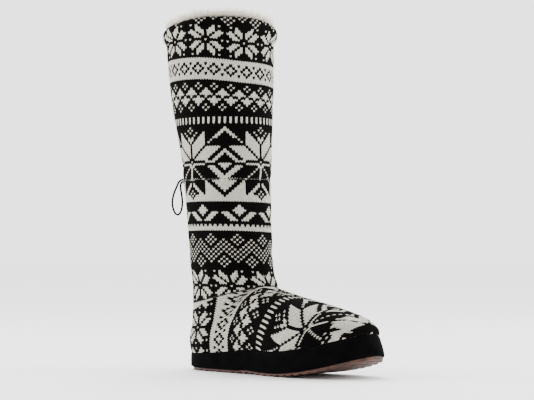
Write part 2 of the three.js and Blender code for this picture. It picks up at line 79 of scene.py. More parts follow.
SOLE_LENGTH, BALL_WIDTH, HEEL_SETBACK = 258, 95, 40
TOE_SPRING, ARCH_LIFT = 22.7, 1.2
PLATFORM_BOTTOM = 3.0
PLATFORM_HEEL, PLATFORM_BALL = 15.9, 23.8
HEEL_SEAM, INSTEP, UPPER_INSET, HEEL_BULGE = 76, 96, 1.2, 2.4
KNIT_WALL = 2.8
BOOT_HEIGHT = 393
ANKLE_DEPTH, ANKLE_WIDTH, COLLAR_DEPTH, COLLAR_WIDTH = 100, 88, 124, 121
ANKLE_CENTRE, COLLAR_CENTRE = 12, -8
COLLAR_RISE, HIGH_RIM = 3.5, math.radians(-46)
CUFF_HEIGHT = 16
CUFF_START = 21.6  # the roll leaves the tube this far below the rim
CINCH_HEIGHT, CINCH_DEPTH, CINCH_WIDTH = 217.0, 1.2, 12
EYELET_BEARING = math.radians(-136)
CORD_DIAMETER = 2.3
PIECE_GAP = 0.3
RIDGE_START, RIDGE_END, VAMP_START = 0.42, 0.915, 0.45


# Curves through tables, and the boot's surfaces


def smooth_table(rows):
    """A smooth curve through the columns of a table whose first column rises."""
    keys = np.array([row[0] for row in rows], float)
    values = np.array([row[1:] for row in rows], float)
    last = len(rows) - 1
    before = np.maximum(np.arange(len(rows)) - 1, 0)
    after = np.minimum(np.arange(len(rows)) + 1, last)
    slopes = (values[after] - values[before]) / (keys[after] - keys[before])[:, None]

    def at(where, column=0):
        x = np.clip(np.asarray(where, float), keys[0], keys[-1])
        i = np.clip(np.searchsorted(keys, x) - 1, 0, last - 1)
        step = keys[i + 1] - keys[i]
        t = (x - keys[i]) / step
        height = values[i, column] * (2 * t**3 - 3 * t**2 + 1)
        height += values[i + 1, column] * (3 * t**2 - 2 * t**3)
        height += slopes[i, column] * step * (t**3 - 2 * t**2 + t)
        return height + slopes[i + 1, column] * step * (t**3 - t**2)

    return at


def blend(start, end, share):
    return start + (end - start) * share


def ease(share):
    s = np.clip(share, 0, 1)
    return s * s * (3 - 2 * s)


# Share of the sole's length, then the reach to the outer and the inner side as shares of the ball width
OUTLINE = (
    (0, 0, 0), (0.012, 0.17, 0.17), (0.055, 0.295, 0.3), (0.15, 0.375, 0.38),
    (0.29, 0.39, 0.355), (0.44, 0.42, 0.335), (0.58, 0.475, 0.4), (0.7, 0.495, 0.485),
    (0.82, 0.43, 0.505), (0.92, 0.29, 0.45), (0.985, 0.06, 0.27), (1, -0.11, 0.11),
)
outline_reach = smooth_table([(math.acos(1 - 2 * a), o, i) for a, o, i in OUTLINE])

# Share of the sole's length, ridge height as a share of the instep's, roundness over the foot
ridge = smooth_table(
    (
        (0.42, 1, 2.5), (0.496, 0.945, 2.4), (0.562, 0.893, 2.4), (0.655, 0.835, 2.35),
        (0.748, 0.777, 2.3), (0.826, 0.715, 2.25), (0.88, 0.668, 2.2), (0.915, 0.632, 2.2),
    )
)

# Share of the sole's length, then 0 for a straight wall to 1 for an arch
wall_dome = smooth_table(((0, 0), (0.12, 0.05), (0.25, 0.25), (0.36, 0.7), (0.45, 1), (1, 1)))

# Share of the boot's height, girth from the ankle's 0 to the collar's 1, lean from 0 to 1
shaft_shape = smooth_table(
    (
        (0.19, 0.06, -0.25), (0.25, 0.04, -0.2), (0.28, -0.02, 0.02), (0.32, -0.02, 0.09),
        (0.38, 0.01, 0.18), (0.44, 0.04, 0.26), (0.5, 0.1, 0.34), (0.55, 0.17, 0.42),
        (0.61, 0.28, 0.47), (0.67, 0.42, 0.58), (0.73, 0.61, 0.7), (0.79, 0.79, 0.8),
        (0.85, 0.88, 0.9), (0.91, 0.96, 0.96), (0.96, 1, 1),
    )
)


def outline(turn, inset=0.0):
    """The sole's edge, heel to outer side to toe to inner side as turn makes a whole round."""

    def edge(angle):
        angle = np.mod(angle, 2 * math.pi)
        outer = angle <= math.pi
        half = np.where(outer, angle, 2 * math.pi - angle)
        reach = np.where(outer, -outline_reach(half, 0), outline_reach(half, 1)) * BALL_WIDTH
        return (1 - np.cos(half)) / 2 * SOLE_LENGTH - HEEL_SETBACK, reach

    step = 0.02  # in radians either side, for the edge's direction
    (x0, y0), (x1, y1), (x, y) = edge(turn - step), edge(turn + step), edge(turn)
    size = np.hypot(x1 - x0, y1 - y0)
    return x - (y1 - y0) / size * inset, y + (x1 - x0) / size * inset


def share_along(x):
    return (x + HEEL_SETBACK) / SOLE_LENGTH


def sole_lift(x):
    rise = np.maximum((share_along(x) - 0.55) / 0.45, 0)
    arch = np.clip((share_along(x) - 0.33) / 0.17, 0, 1)
    return TOE_SPRING * rise**2 + ARCH_LIFT * np.sin(math.pi * arch) ** 2


def on_sole(x, y, height):
    """A point at a height square to the lifted sole."""
    slope = sole_lift(x + 0.5) - sole_lift(x - 0.5)
    size = np.hypot(1, slope)
    return np.stack([x - height * slope / size, y, sole_lift(x) + height / size], -1)


def platform_top(x):
    share = ease(share_along(x) / 0.55)
    return PLATFORM_BOTTOM + PIECE_GAP + blend(PLATFORM_HEEL, PLATFORM_BALL, share)


def shaft_section(z):
    opened, lean = shaft_shape(z / BOOT_HEIGHT, 0), shaft_shape(z / BOOT_HEIGHT, 1)
    cinch = CINCH_DEPTH * (1 - ease(np.abs(z - CINCH_HEIGHT) / (CINCH_WIDTH / 2)))
    depth = blend(ANKLE_DEPTH, COLLAR_DEPTH, opened) / 2 - cinch
    width = blend(ANKLE_WIDTH, COLLAR_WIDTH, opened) / 2 - cinch
    return blend(ANKLE_CENTRE, COLLAR_CENTRE, lean), depth, width


def on_shaft(bearing, z, out=0.0):
    centre, depth, width = shaft_section(z)
    x = centre + (depth + out) * np.cos(bearing)
    return np.stack(np.broadcast_arrays(x, (width + out) * np.sin(bearing), z), -1)


def seam_height(bearing):
    return blend(HEEL_SEAM, INSTEP, ((1 + np.cos(bearing)) / 2) ** 1.6)


# Degrees round from the rim's high side, how far the worn-in rim stands over the saddle's curve,
# and how far the knit's rows are pulled up at the collar and on the cuff
pulled_up = smooth_table(
    (
        (-180, 0, 0, 0), (-140, 0.2, 1, 0.3), (-90, 0.4, 3, 1.6), (-57, 1.4, 3, 1.8),
        (-22, 2, 2.6, 2.4), (0, 1.7, 1.2, 0.9), (21, 2.4, 0, -0.6), (45, 3.4, 0.3, 0.8),
        (75, 3, 0.5, 1.8), (110, 1.6, 0, 1), (150, 0.4, 0, 0), (180, 0, 0, 0),
    )
)


def from_high_rim(bearing):
    return np.degrees(np.mod(bearing - HIGH_RIM + math.pi, 2 * math.pi) - math.pi)


def rim_height(bearing):
    saddle = BOOT_HEIGHT + COLLAR_RISE * np.cos(2 * (bearing - HIGH_RIM))
    return saddle + pulled_up(from_high_rim(bearing), 0)


VAMP_TURN = math.acos(1 - 2 * VAMP_START)


def foot_top(turn, side):
    """Top of the foot's wall: on the ankle seam behind, on the ridge in front."""
    bearing = side * math.pi * (1 - np.minimum(turn / VAMP_TURN, 1))
    ankle = on_shaft(bearing, seam_height(bearing) - PIECE_GAP / 2)
    share = np.maximum(((1 - np.cos(turn)) / 2 - VAMP_START) / (1 - VAMP_START), 0)
    along = blend(RIDGE_START, RIDGE_END, share)
    start = RIDGE_START * SOLE_LENGTH - HEEL_SETBACK
    x = along * SOLE_LENGTH - HEEL_SETBACK
    front = on_shaft(0.0, INSTEP - PIECE_GAP / 2)[0]
    sway = outline(math.pi, UPPER_INSET + 1)[1]
    x_front = x + (front - start) * np.maximum(1 - (x - start) / 10, 0)
    y_front = sway * ease((along - RIDGE_START) / (RIDGE_END - RIDGE_START))
    vamp = np.stack([x_front, y_front, ridge(along, 0) * INSTEP - PIECE_GAP / 2], -1)
    return np.where((turn <= VAMP_TURN)[..., None], ankle, vamp)


def on_foot(turn, rise, side):
    """The knitted foot's skin: turn from the heel's 0 to the toe's pi, rise from sole to top."""
    turn, rise = np.broadcast_arrays(np.asarray(turn, float), np.clip(rise, 0, 1))
    whole = turn if side < 0 else 2 * math.pi - turn
    foot_x, foot_y = outline(whole, UPPER_INSET)
    base = on_sole(foot_x, foot_y, platform_top(foot_x) + PIECE_GAP)
    top = foot_top(turn, side)
    rounding = ridge(np.maximum(share_along(top[..., 0]), RIDGE_START), 1)
    dome = wall_dome((1 - np.cos(turn)) / 2)
    arch_up = np.sin(rise * math.pi / 2) ** (2 / rounding)
    arch_in = 1 - np.cos(rise * math.pi / 2) ** (2 / rounding)
    up, inwards = blend(rise, arch_up, dome), blend(rise**1.6, arch_in, dome)
    swell = HEEL_BULGE * np.sin(math.pi * np.minimum(up / 0.55, 1)) * (1 - 0.5 * dome)
    out_x, out_y = outline(whole, UPPER_INSET - swell)
    x = blend(base[..., 0], top[..., 0], inwards) + out_x - foot_x
    y = blend(base[..., 1], top[..., 1], inwards) + out_y - foot_y
    return np.stack([x, y, blend(base[..., 2], top[..., 2], up)], -1)


# Materials


def linear(code):
    """Linear red, green, blue and alpha of an sRGB hex colour."""
    parts = [int(code[i : i + 2], 16) / 255 for i in (1, 3, 5)]
    return [c / 12.92 if c <= 0.04045 else ((c + 0.055) / 1.055) ** 2.4 for c in parts] + [1]


def finish(name, roughness, sheen=0.0, sheen_roughness=0.5, specular=0.5):
    """A material with its shader's constants, and its node tree, shader and object coordinates."""
    material = bpy.data.materials.new(name)
    material.use_nodes = True
    tree = material.node_tree
    shader = tree.nodes["Principled BSDF"]
    shader.inputs["Roughness"].default_value = roughness
    shader.inputs["Sheen Weight"].default_value = sheen
    shader.inputs["Sheen Roughness"].default_value = sheen_roughness
    shader.inputs["Specular IOR Level"].default_value = specular
    return material, tree, shader, node(tree, "ShaderNodeTexCoord").outputs["Object"]


def node(tree, kind, inputs=(), stops=(), **settings):
    """Adds a node. inputs are (socket, value or the output it comes from) pairs, stops are a ramp's
    (position, colour) pairs, and a setting is the node's own or names a socket."""
    made = tree.nodes.new(kind)
    for key, value in settings.items():
        if hasattr(made, key):
            setattr(made, key, value)
        else:
            made.inputs[key.replace("_", " ")].default_value = value
    for socket, source in inputs:
        if isinstance(source, bpy.types.NodeSocket):
            tree.links.new(source, made.inputs[socket])
        else:
            made.inputs[socket].default_value = source
    for i, (position, colour) in enumerate(stops):
        made.color_ramp.elements[i].position = position
        made.color_ramp.elements[i].color = linear(colour)
    return made


def knit_yarn():
    """Wool-acrylic yarn, knitted in two colours: matt, hairy, its legs twisted and a little uneven."""
    material, tree, shader, place = finish(
        "two_colour_wool_knit", 0.95, sheen=0.01, sheen_roughness=0.6, specular=0.01
    )
    white = node(tree, "ShaderNodeAttribute", attribute_name="white_yarn").outputs["Fac"]
    depth = node(tree, "ShaderNodeAttribute", attribute_name="yarn_height").outputs["Fac"]
    # Marl of darker hairs in the yarn, about 1.3 mm long
    fibre = node(tree, "ShaderNodeTexNoise", [("Vector", place)], Scale=760.0, Detail=3.0, Roughness=0.7)
    marl = fibre.outputs["Fac"]
    pale = node(tree, "ShaderNodeValToRGB", [("Fac", marl)], ((0.34, "#928f85"), (0.6, "#cfccc0")))
    dark = node(tree, "ShaderNodeValToRGB", [("Fac", marl)], ((0.35, "#040303"), (0.75, "#0f0d0c")))
    # Hairs of both yarns cross their edge, and the black lies over the white
    stray = node(tree, "ShaderNodeMath", [(0, marl), (1, 0.3), (2, white)], operation="MULTIPLY_ADD")
    edge = node(tree, "ShaderNodeMapRange", [("Value", stray.outputs[0])], From_Min=0.78, From_Max=0.96)
    mixed = [("Factor", edge.outputs["Result"]), (6, dark.outputs["Color"]), (7, pale.outputs["Color"])]
    yarn = node(tree, "ShaderNodeMix", mixed, data_type="RGBA").outputs[2]
    # Painted shade: the gaps between the legs are painted darker than their backs, where shade falls between
    # them
    painted_gap_shade = node(tree, "ShaderNodeMapRange", [("Value", depth)], From_Max=0.6, To_Min=0.3)
    shadow = [("Factor", 1.0), (6, yarn), (7, linear("#8f8a80"))]
    darker = node(tree, "ShaderNodeMix", shadow, data_type="RGBA", blend_type="MULTIPLY").outputs[2]
    shaded = [("Factor", painted_gap_shade.outputs["Result"]), (6, darker), (7, yarn)]
    shade = node(tree, "ShaderNodeMix", shaded, data_type="RGBA")
    tree.links.new(shade.outputs[2], shader.inputs["Base Color"])
    # Two plies twisted about each leg, three turns to a stitch
    stitch = node(tree, "ShaderNodeUVMap", uv_map="stitches")
    parts = node(tree, "ShaderNodeSeparateXYZ", [("Vector", stitch.outputs["UV"])])
    across = node(tree, "ShaderNodeMath", [(0, parts.outputs["X"]), (1, 0.5)], operation="PINGPONG")
    leg = [(0, parts.outputs["Y"]), (1, 2.0), (2, across.outputs[0])]
    along = node(tree, "ShaderNodeMath", leg, operation="MULTIPLY_ADD")
    twist = node(tree, "ShaderNodeCombineXYZ", [("X", along.outputs[0]), ("Y", marl)])
    ply = node(tree, "ShaderNodeTexWave", [("Vector", twist.outputs[0])], Scale=0.48, Distortion=0.6)
    # Hairs stand off the plies, drawn coarse enough to show
    hair = node(tree, "ShaderNodeTexNoise", [("Vector", place)], Scale=2600.0, Detail=2.0)
    plies = [("Height", ply.outputs["Fac"])]
    twisted = node(tree, "ShaderNodeBump", plies, Strength=0.35, Distance=0.4 * MM)
    raised = [("Height", hair.outputs["Fac"]), ("Normal", twisted.outputs["Normal"])]
    rough = node(tree, "ShaderNodeBump", raised, Strength=0.5, Distance=0.3 * MM)
    tree.links.new(rough.outputs["Normal"], shader.inputs["Normal"])
    return material


def coat(tree, shader, colour, height, strength, lift_mm):
    """Gives a shader its colour, and a bump from a pattern's height."""
    tree.links.new(colour.outputs["Color"], shader.inputs["Base Color"])
    bump = node(tree, "ShaderNodeBump", [("Height", height)], Strength=strength, Distance=lift_mm * MM)
    tree.links.new(bump.outputs["Normal"], shader.inputs["Normal"])


def napped(name, shades, patch_mm, nap_mm, lift_mm, sheen):
    """A napped surface: broad patches where the nap lies another way, and a fine raised nap."""
    material, tree, shader, place = finish(name, 0.95, sheen=sheen, sheen_roughness=0.45, specular=0.01)
    spot = [("Vector", place)]
    patch = node(tree, "ShaderNodeTexNoise", spot, Scale=1000 / patch_mm, Detail=4.0, Roughness=0.65)
    nap = node(tree, "ShaderNodeTexNoise", spot, Scale=1000 / nap_mm, Detail=3.0, Roughness=0.7)
    pair = [(0, patch.outputs["Fac"]), (1, nap.outputs["Fac"])]
    both = node(tree, "ShaderNodeMath", pair, operation="ADD")
    half = node(tree, "ShaderNodeMath", [(0, both.outputs[0]), (1, 0.5)], operation="MULTIPLY")
    stops = ((0.36, shades[0]), (0.64, shades[1]))
    colour = node(tree, "ShaderNodeValToRGB", [("Fac", half.outputs[0])], stops)
    coat(tree, shader, colour, nap.outputs["Fac"], 0.6, lift_mm)
    return material


def pile_fibre():
    """Polyester sherpa pile: cream locks, with painted shade making them darker and warmer down at their
    roots.
    """
    material, tree, shader, place = finish(
        "cream_sherpa_pile", 0.95, sheen=0.4, sheen_roughness=0.4, specular=0.2
    )
    tip = node(tree, "ShaderNodeAttribute", attribute_name="tip")
    # Tufts about 2.4 mm wide
    tuft = node(tree, "ShaderNodeTexNoise", [("Vector", place)], Scale=420.0, Detail=3.0).outputs["Fac"]
    # Painted shade: the colour darkens and warms from the locks' tips down to their roots, with random tone
    # from the tufts
    reach = node(tree, "ShaderNodeMath", [(0, tip.outputs["Fac"]), (1, tuft)], operation="ADD")
    stops = ((0.35, "#b5a88f"), (0.95, "#efe8da"))
    colour = node(tree, "ShaderNodeValToRGB", [("Fac", reach.outputs[0])], stops)
    coat(tree, shader, colour, tuft, 0.4, 0.8)
    return material


def moulded(name, shades, roughness, grain_mm, specular=0.4):
    """A moulded surface: one colour, a little mottled, with a fine matt grain from its mould."""
    material, tree, shader, place = finish(name, roughness, specular=specular)
    # The mottle's patches are about 11 mm wide
    mottle = node(tree, "ShaderNodeTexNoise", [("Vector", place)], Scale=90.0, Detail=5.0, Roughness=0.6)
    stops = ((0.38, shades[0]), (0.62, shades[1]))
    colour = node(tree, "ShaderNodeValToRGB", [("Fac", mottle.outputs["Fac"])], stops)
    grain = node(tree, "ShaderNodeTexNoise", [("Vector", place)], Scale=1000 / grain_mm, Detail=2.0)
    coat(tree, shader, colour, grain.outputs["Fac"], 0.35, 0.2)
    return material


def braided(name, shades, ply_mm):
    """Braided cord: two sets of strands that cross, read from the cord's own length and turn."""
    material, tree, shader, _ = finish(name, 0.8, sheen=0.03, specular=0.15)
    run = node(tree, "ShaderNodeUVMap", uv_map="braid")
    strands = []
    for lean in (45, -45):
        turned = [("Vector", run.outputs["UV"]), ("Rotation", (0, 0, math.radians(lean)))]
        way = node(tree, "ShaderNodeMapping", turned)
        strand = [("Vector", way.outputs["Vector"])]
        wave = node(tree, "ShaderNodeTexWave", strand, Scale=0.32 / ply_mm, Distortion=0.3)
        strands.append(wave.outputs["Fac"])
    cross = node(tree, "ShaderNodeMath", list(enumerate(strands)), operation="MAXIMUM").outputs[0]
    # Painted highlight: the colour is lighter where the strands stand highest
    colour = node(tree, "ShaderNodeValToRGB", [("Fac", cross)], ((0, shades[0]), (1, shades[1])))
    coat(tree, shader, colour, cross, 0.8, 0.3)
    return material


YARN = knit_yarn()
# Cow suede, dyed black: so matt that only its nap shows, in slow patches
SUEDE = napped("black_suede", ("#030303", "#0a0a0b"), patch_mm=14, nap_mm=0.9, lift_mm=0.35, sheen=0.01)
# Knitted fleece: short, soft and cream, a little brighter at grazing angles
CREAMS = ("#d2cab8", "#efeadf")
FLEECE = napped("cream_fleece_lining", CREAMS, patch_mm=6, nap_mm=1.6, lift_mm=0.9, sheen=0.4)
PILE = pile_fibre()
# Thermoplastic rubber: reddish brown, half matt
RUBBER = moulded("brown_moulded_rubber", ("#2f1b14", "#533329"), 0.62, grain_mm=0.7)
# Painted brass: an even grey with a soft gloss
GREY_PAINT = moulded("grey_painted_eyelet", ("#7c7d7d", "#929393"), 0.38, grain_mm=0.5, specular=0.6)
# Polyester cord and sewing thread: a painted highlight makes the strands a little lighter where they cross
BRAID = braided("black_braided_cord", ("#040303", "#171412"), ply_mm=0.9)
THREAD = braided("grey_channel_thread", ("#2c2b29", "#6b6964"), ply_mm=0.4)
BLACK_THREAD = braided("black_seam_thread", ("#070707", "#1d1b1a"), ply_mm=0.4)


# Meshes from points and faces


def add_mesh(name, points, faces, material):
    """A piece at the origin from points in millimetres."""
    mesh = bpy.data.meshes.new(name)
    mesh.from_pydata((points * MM).tolist(), [], faces)
    mesh.materials.append(material)
    mesh.polygons.foreach_set("use_smooth", [True] * len(mesh.polygons))
    mesh.update()
    piece = bpy.data.objects.new(name, mesh)
    bpy.context.scene.collection.objects.link(piece)
    return piece


def grid_faces(rows, columns, closed=False):
    """Quads between the points of a grid, whose columns close into rings if closed."""
    wide = columns if closed else columns - 1
    start, here = np.meshgrid(np.arange(rows - 1) * columns, np.arange(wide), indexing="ij")
    beside = (here + 1) % columns
    quads = [start + here, start + beside, start + columns + beside, start + columns + here]
    return np.stack(quads, -1).reshape(-1, 4)


def point_normals(points, faces):
    a, b, c, d = (points[faces[:, i]] for i in range(4))
    face = np.cross(c - a, d - b)
    total = np.zeros_like(points)
    for i in range(4):
        np.add.at(total, faces[:, i], face)
    return total / np.maximum(np.linalg.norm(total, axis=1, keepdims=True), 1e-12)


def lengths_along(path):
    return np.concatenate([[0], np.cumsum(np.linalg.norm(np.diff(path, axis=0), axis=1))])


def mark_points(piece, name, values):
    piece.data.attributes.new(name, "FLOAT", "POINT").data.foreach_set("value", values)


# The knitting chart. Each row is given from the middle of its motif outwards, # for white yarn.

SNOWFLAKE = "...#.#.. ..##.... .###.#.. .##.###. .#.###.. ..###... #.....#.".split()
SNOWFLAKE += SNOWFLAKE[-2::-1]
DIAMONDS = "#### #### .##. #.## ##.# #.## .##. #### ####".split()
STARS = ".... #... .#.. #..# ..## .### #..# ###. ##.. #..# ..#. ...# .... ....".split()
GREAT_STAR = """
    ............... #.............# .#...........## #..#..#.....##. ..#..##....##.. .#..###...##...
    ##.####..#..... #.#####.#...... .######........ .#####.######.. .####.######..# .###.######..##
    .##.######..##. .#.######..##.. ..######..##... #......####.... .######.....### ##......###..##
    #.#......###..# #..#......###.. #...#......###. #....#......### #.....#......## .......#..#####
    .#.....##..#### .##....###..### ..##...####..## #..##..#####..# .#..##.######.. #.############.
    .############## ###############
""".split()
TULIPS = "........ #....... ##...... ###..... ##..###. #..###.. ..###... .###.... ........".split()
LATTICE = """
    #..... .#.... #.#..# .#..#. #..#.# ..#.#. .#.#.# #.#.#. .#.#.. #.#..# .#..#. #..#.# ....#. .....#
""".split()
BLACK_ROW, WHITE_ROW = [".."], ["##"]

# Bands from the cuff down: rows, then the column that a motif's middle stands on
BANDS = (
    (BLACK_ROW * 4, 0),
    (LATTICE[4::-1], 7),
    (SNOWFLAKE, 7),
    (BLACK_ROW, 0),
    (DIAMONDS, 0),
    (STARS, 0),
    (["#."] * 3, 0),
    (GREAT_STAR, 0),
    (TULIPS, 5),
    (["#."], 0),
    (WHITE_ROW * 2, 0),
    (BLACK_ROW, 0),
    (LATTICE, 0),
    (BLACK_ROW, 0),
    (SNOWFLAKE, 0),
    (BLACK_ROW * 8, 0),
)
ROWS_ABOVE = 10  # rows of the chart above row 0
CHART = [(row, middle) for rows, middle in BANDS for row in rows]


def is_white(row, column):
    """Whether the chart's stitch is white."""
    half, middle = CHART[int(np.clip(row + ROWS_ABOVE, 0, len(CHART) - 1))]
    repeat = 2 * (len(half) - 1)
    off = (column - middle) % repeat
    return half[min(off, repeat - off)] == "#"


# Knit: each stitch is a V of two legs, four faces across and two down, laid on a smooth surface.
# Lines run round the boot half a row apart, and a line gives the point at each column.

LEG_RELIEF = 0.75  # a leg's back stands this far over the gaps, in millimetres
LEG_SLANT = 0.55  # and rises by this share of a half row to either side of its middle
LEG_HEIGHT = {(0, 0): 0.0, (0, 1): 0.55, (1, 0): 0.3, (1, 1): 1.0}  # by half row and quarter column


def lay_knit(name, rows, reach, line, white, shape=None):
    """Stitches of rows[0] to rows[1], reach columns either side of the middle. line(half_row, columns)
    gives the points and which of them lie past the line's ends, white(row, column, point) a stitch's
    colour, and shape(points) how far the knit stands off there."""
    quarters = np.arange(-4 * reach - 2, 4 * reach + 3)
    zigzag = np.where(quarters % 4 == 0, 1, np.where(quarters % 2 == 0, -1, 0))
    levels = np.arange(2 * rows[0], 2 * rows[1] + 1)
    points = np.zeros((len(levels), len(quarters), 3))
    beyond = np.zeros(points.shape[:2], bool)
    for i, level in enumerate(levels):
        for shift in (-1, 0, 1):
            chosen = zigzag == shift
            points[i, chosen], beyond[i, chosen] = line(level + shift * LEG_SLANT, quarters[chosen] / 4)
    height = np.array([[LEG_HEIGHT[(level % 2, q % 2)] for q in quarters] for level in levels])
    columns = len(quarters)
    faces = grid_faces(len(levels), columns)[:, ::-1]
    faces = faces[~beyond.ravel()[faces].all(1)]
    stitch_row = rows[0] + (faces[:, 3] // columns) // 2
    stitch_column = np.floor((quarters[faces[:, 3] % columns] + 2) / 4).astype(int)
    corner_u = quarters[faces % columns] / 4
    corner_v = (levels[faces // columns] + zigzag[faces % columns] * LEG_SLANT) / 2
    flat = points.reshape(-1, 3)
    # Points in one place become one, which joins the ends of the rows, and empty faces are dropped
    _, first, same = np.unique(np.round(flat, 2), axis=0, return_index=True, return_inverse=True)
    merged, height = flat[first], height.ravel()[first]
    faces = same.ravel()[faces]
    kept = np.flatnonzero([len(set(face)) > 2 for face in faces.tolist()])
    normals = point_normals(merged, faces[kept])
    if shape is not None:
        merged = merged + normals * shape(merged)[:, None]
        normals = point_normals(merged, faces[kept])
    merged = merged + normals * (height * LEG_RELIEF)[:, None]
    used = np.unique(faces[kept])
    renumber = np.full(len(merged), -1)
    renumber[used] = np.arange(len(used))
    loops, corners = [], []
    for k in kept:
        face = faces[k].tolist()
        first_seen = [j for j in range(4) if face[j] not in face[:j]]
        loops.append([int(renumber[face[j]]) for j in first_seen])
        corners.extend((corner_u[k, j], corner_v[k, j]) for j in first_seen)
    piece = add_mesh(name, merged[used], loops, YARN)
    # How white the faces round a point are: the shader draws the yarns' edge along one value of it
    yarn, meeting = np.zeros(len(used)), np.zeros(len(used))
    for k, loop in zip(kept, loops):
        yarn[loop] += white(int(stitch_row[k]), int(stitch_column[k]), merged[faces[k][0]])
        meeting[loop] += 1
    mark_points(piece, "white_yarn", yarn / meeting)
    mark_points(piece, "yarn_height", height[used])
    piece.data.uv_layers.new(name="stitches").data.foreach_set("uv", np.array(corners, float).ravel())
    return piece


# Shaft: rows round the tube and over the rolled cuff

ROW_PITCH, COLUMN_PITCH = 2.73, 3.15
TOP_ROW_HEIGHT = 385.3  # row 0 over the floor on the side with the high rim
SHAFT_COLUMNS = 64
CUFF_ROW = 2  # the roll's crease lies between this row and the one above
LAST_ROW = 115

# Roll of the cuff: millimetres out from the tube and down from the rim, from below upwards
CUFF_ROLL = np.array(
    (
        (0, 21.6), (-0.1, 18.8), (0.2, 16.9), (1.6, 15.3), (3.1, 12.9), (4.0, 9.4), (3.9, 6.0),
        (2.9, 3.0), (1.3, 0.9), (-0.4, 0.1), (-1.9, 0.7), (-2.7, 2.6), (-2.9, 5.5), (-2.9, 9.0),
    )
)
roll_steps = np.concatenate([[0], np.cumsum(np.hypot(*np.diff(CUFF_ROLL, axis=0).T))])
cuff_roll = smooth_table([(s, *point) for s, point in zip(roll_steps, CUFF_ROLL)])

COLLAR_PULL, CUFF_PULL = (280, 50), (345, 25)  # where a row's pull sets in, and over what height

# Height, then how far a row lies lower at the front inner side than on the high side
row_drop = smooth_table(((76, 3), (170, 2), (285, 0), (320, 4), (393, 4.5)))


def row_level(row, bearing):
    """Height of a row, or of its place on the unrolled cuff."""
    turned = bearing - HIGH_RIM
    level = TOP_ROW_HEIGHT - ROW_PITCH * row
    collar, cuff = (ease((level - start) / height) for start, height in (COLLAR_PULL, CUFF_PULL))
    at_collar, at_cuff = (pulled_up(from_high_rim(bearing), column) for column in (1, 2))
    pull = at_collar * collar * (1 - cuff) + at_cuff * cuff
    return level + pull - row_drop(level) * 0.5 * (1 + np.sin(turned) - np.cos(turned))


def shaft_surface(row, bearing):
    level = row_level(row, bearing)
    rim = rim_height(bearing)
    up = np.maximum(level - (rim - CUFF_START), 0)
    rolled = up > 0
    z = np.where(rolled, rim - cuff_roll(up, 1), level)
    z = np.maximum(z, seam_height(bearing) + PIECE_GAP / 2)
    return on_shaft(bearing, z, np.where(rolled, cuff_roll(up, 0), 0))


ROUND = np.linspace(0, math.pi, 361)


@lru_cache(maxsize=None)
def shaft_lengths(half_row):
    """Length of a line from the front to each bearing of ROUND, on the outer and on the inner side."""
    sides = []
    for side in (-1, 1):
        level = np.clip(row_level(half_row / 2, side * ROUND), HEEL_SEAM, BOOT_HEIGHT)
        sides.append(lengths_along(on_shaft(side * ROUND, level)))
    return sides


def shaft_line(half_row, columns):
    """Points of a line at its columns, counted from the front by their length along the tube."""
    outer, inner = shaft_lengths(half_row)
    length = np.abs(columns) * COLUMN_PITCH
    past = np.where(columns < 0, length > outer[-1], length > inner[-1])
    bearing = np.where(columns < 0, -np.interp(length, outer, ROUND), np.interp(length, inner, ROUND))
    return shaft_surface(half_row / 2, bearing), past


# Soft folds: bearing and height of the middle, half length and half height in
# millimetres, slope, and depth, below nought for a trough
SHAFT_FOLDS = (
    (-20, 104, 34, 7, 0.25, -1.1), (8, 116, 40, 8, -0.2, 0.8), (-60, 108, 30, 6, 0.12, 0.9),
    (20, 132, 30, 7, 0.2, -1.2), (-150, 112, 40, 7, -0.1, -1.2), (160, 126, 40, 8, 0.15, -1.3),
    (100, 108, 36, 7, 0.0, -1.2), (-100, 150, 34, 9, 0.2, -0.7), (60, 168, 34, 9, -0.15, -0.8),
    (-50, 190, 40, 10, 0.1, 0.5), (-120, 236, 30, 8, 0.1, -0.7),
    (-30, 250, 44, 10, -0.12, -0.6), (130, 240, 40, 10, 0.1, -0.8),
    (30, 300, 46, 12, 0.15, -0.7), (-90, 330, 46, 12, -0.1, -0.6),
)
FOLDS_CENTRE, FOLDS_DEGREE = 4, 0.85  # the tube's middle, and the length of a degree round it
FOLDS_BOTTOM, FOLDS_TOP = 6, (18, 10)  # the folds fade over the seam, and towards the rim


def shaft_folds(points):
    """How far the knit stands in or out of the smooth tube, in millimetres."""
    bearing = np.degrees(np.arctan2(points[:, 1], points[:, 0] - FOLDS_CENTRE))
    depth = np.zeros(len(points))
    for middle, z, half_length, half_height, slope, deep in SHAFT_FOLDS:
        along = (np.mod(bearing - middle + 180, 360) - 180) * FOLDS_DEGREE
        rise = (points[:, 2] - z - slope * along) / half_height
        depth += deep * np.exp(-((along / half_length) ** 2) - rise**2)
    near_seam = ease((points[:, 2] - seam_height(np.radians(bearing))) / FOLDS_BOTTOM)
    near_rim = ease((BOOT_HEIGHT - FOLDS_TOP[0] - points[:, 2]) / FOLDS_TOP[1])
    return depth * near_seam * near_rim


def shaft_white(row, column, _):
    return is_white(row, column)


shaft_knit, cuff_knit = (
    lay_knit(name, rows, SHAFT_COLUMNS, shaft_line, shaft_white, shaft_folds)
    for name, rows in (("shaft_knit", (CUFF_ROW, LAST_ROW)), ("cuff_knit", (-ROWS_ABOVE, CUFF_ROW)))
)


# Foot: rows stand across it, from the heel's back to the toe, their columns run along it.
# Row, then the turn where its line starts on the sole and the turn it aims for at the top,
# how late it leans over, the columns there are from the ridge down to the sole, and how many
# of them the line skips at the top, where the toe is closed

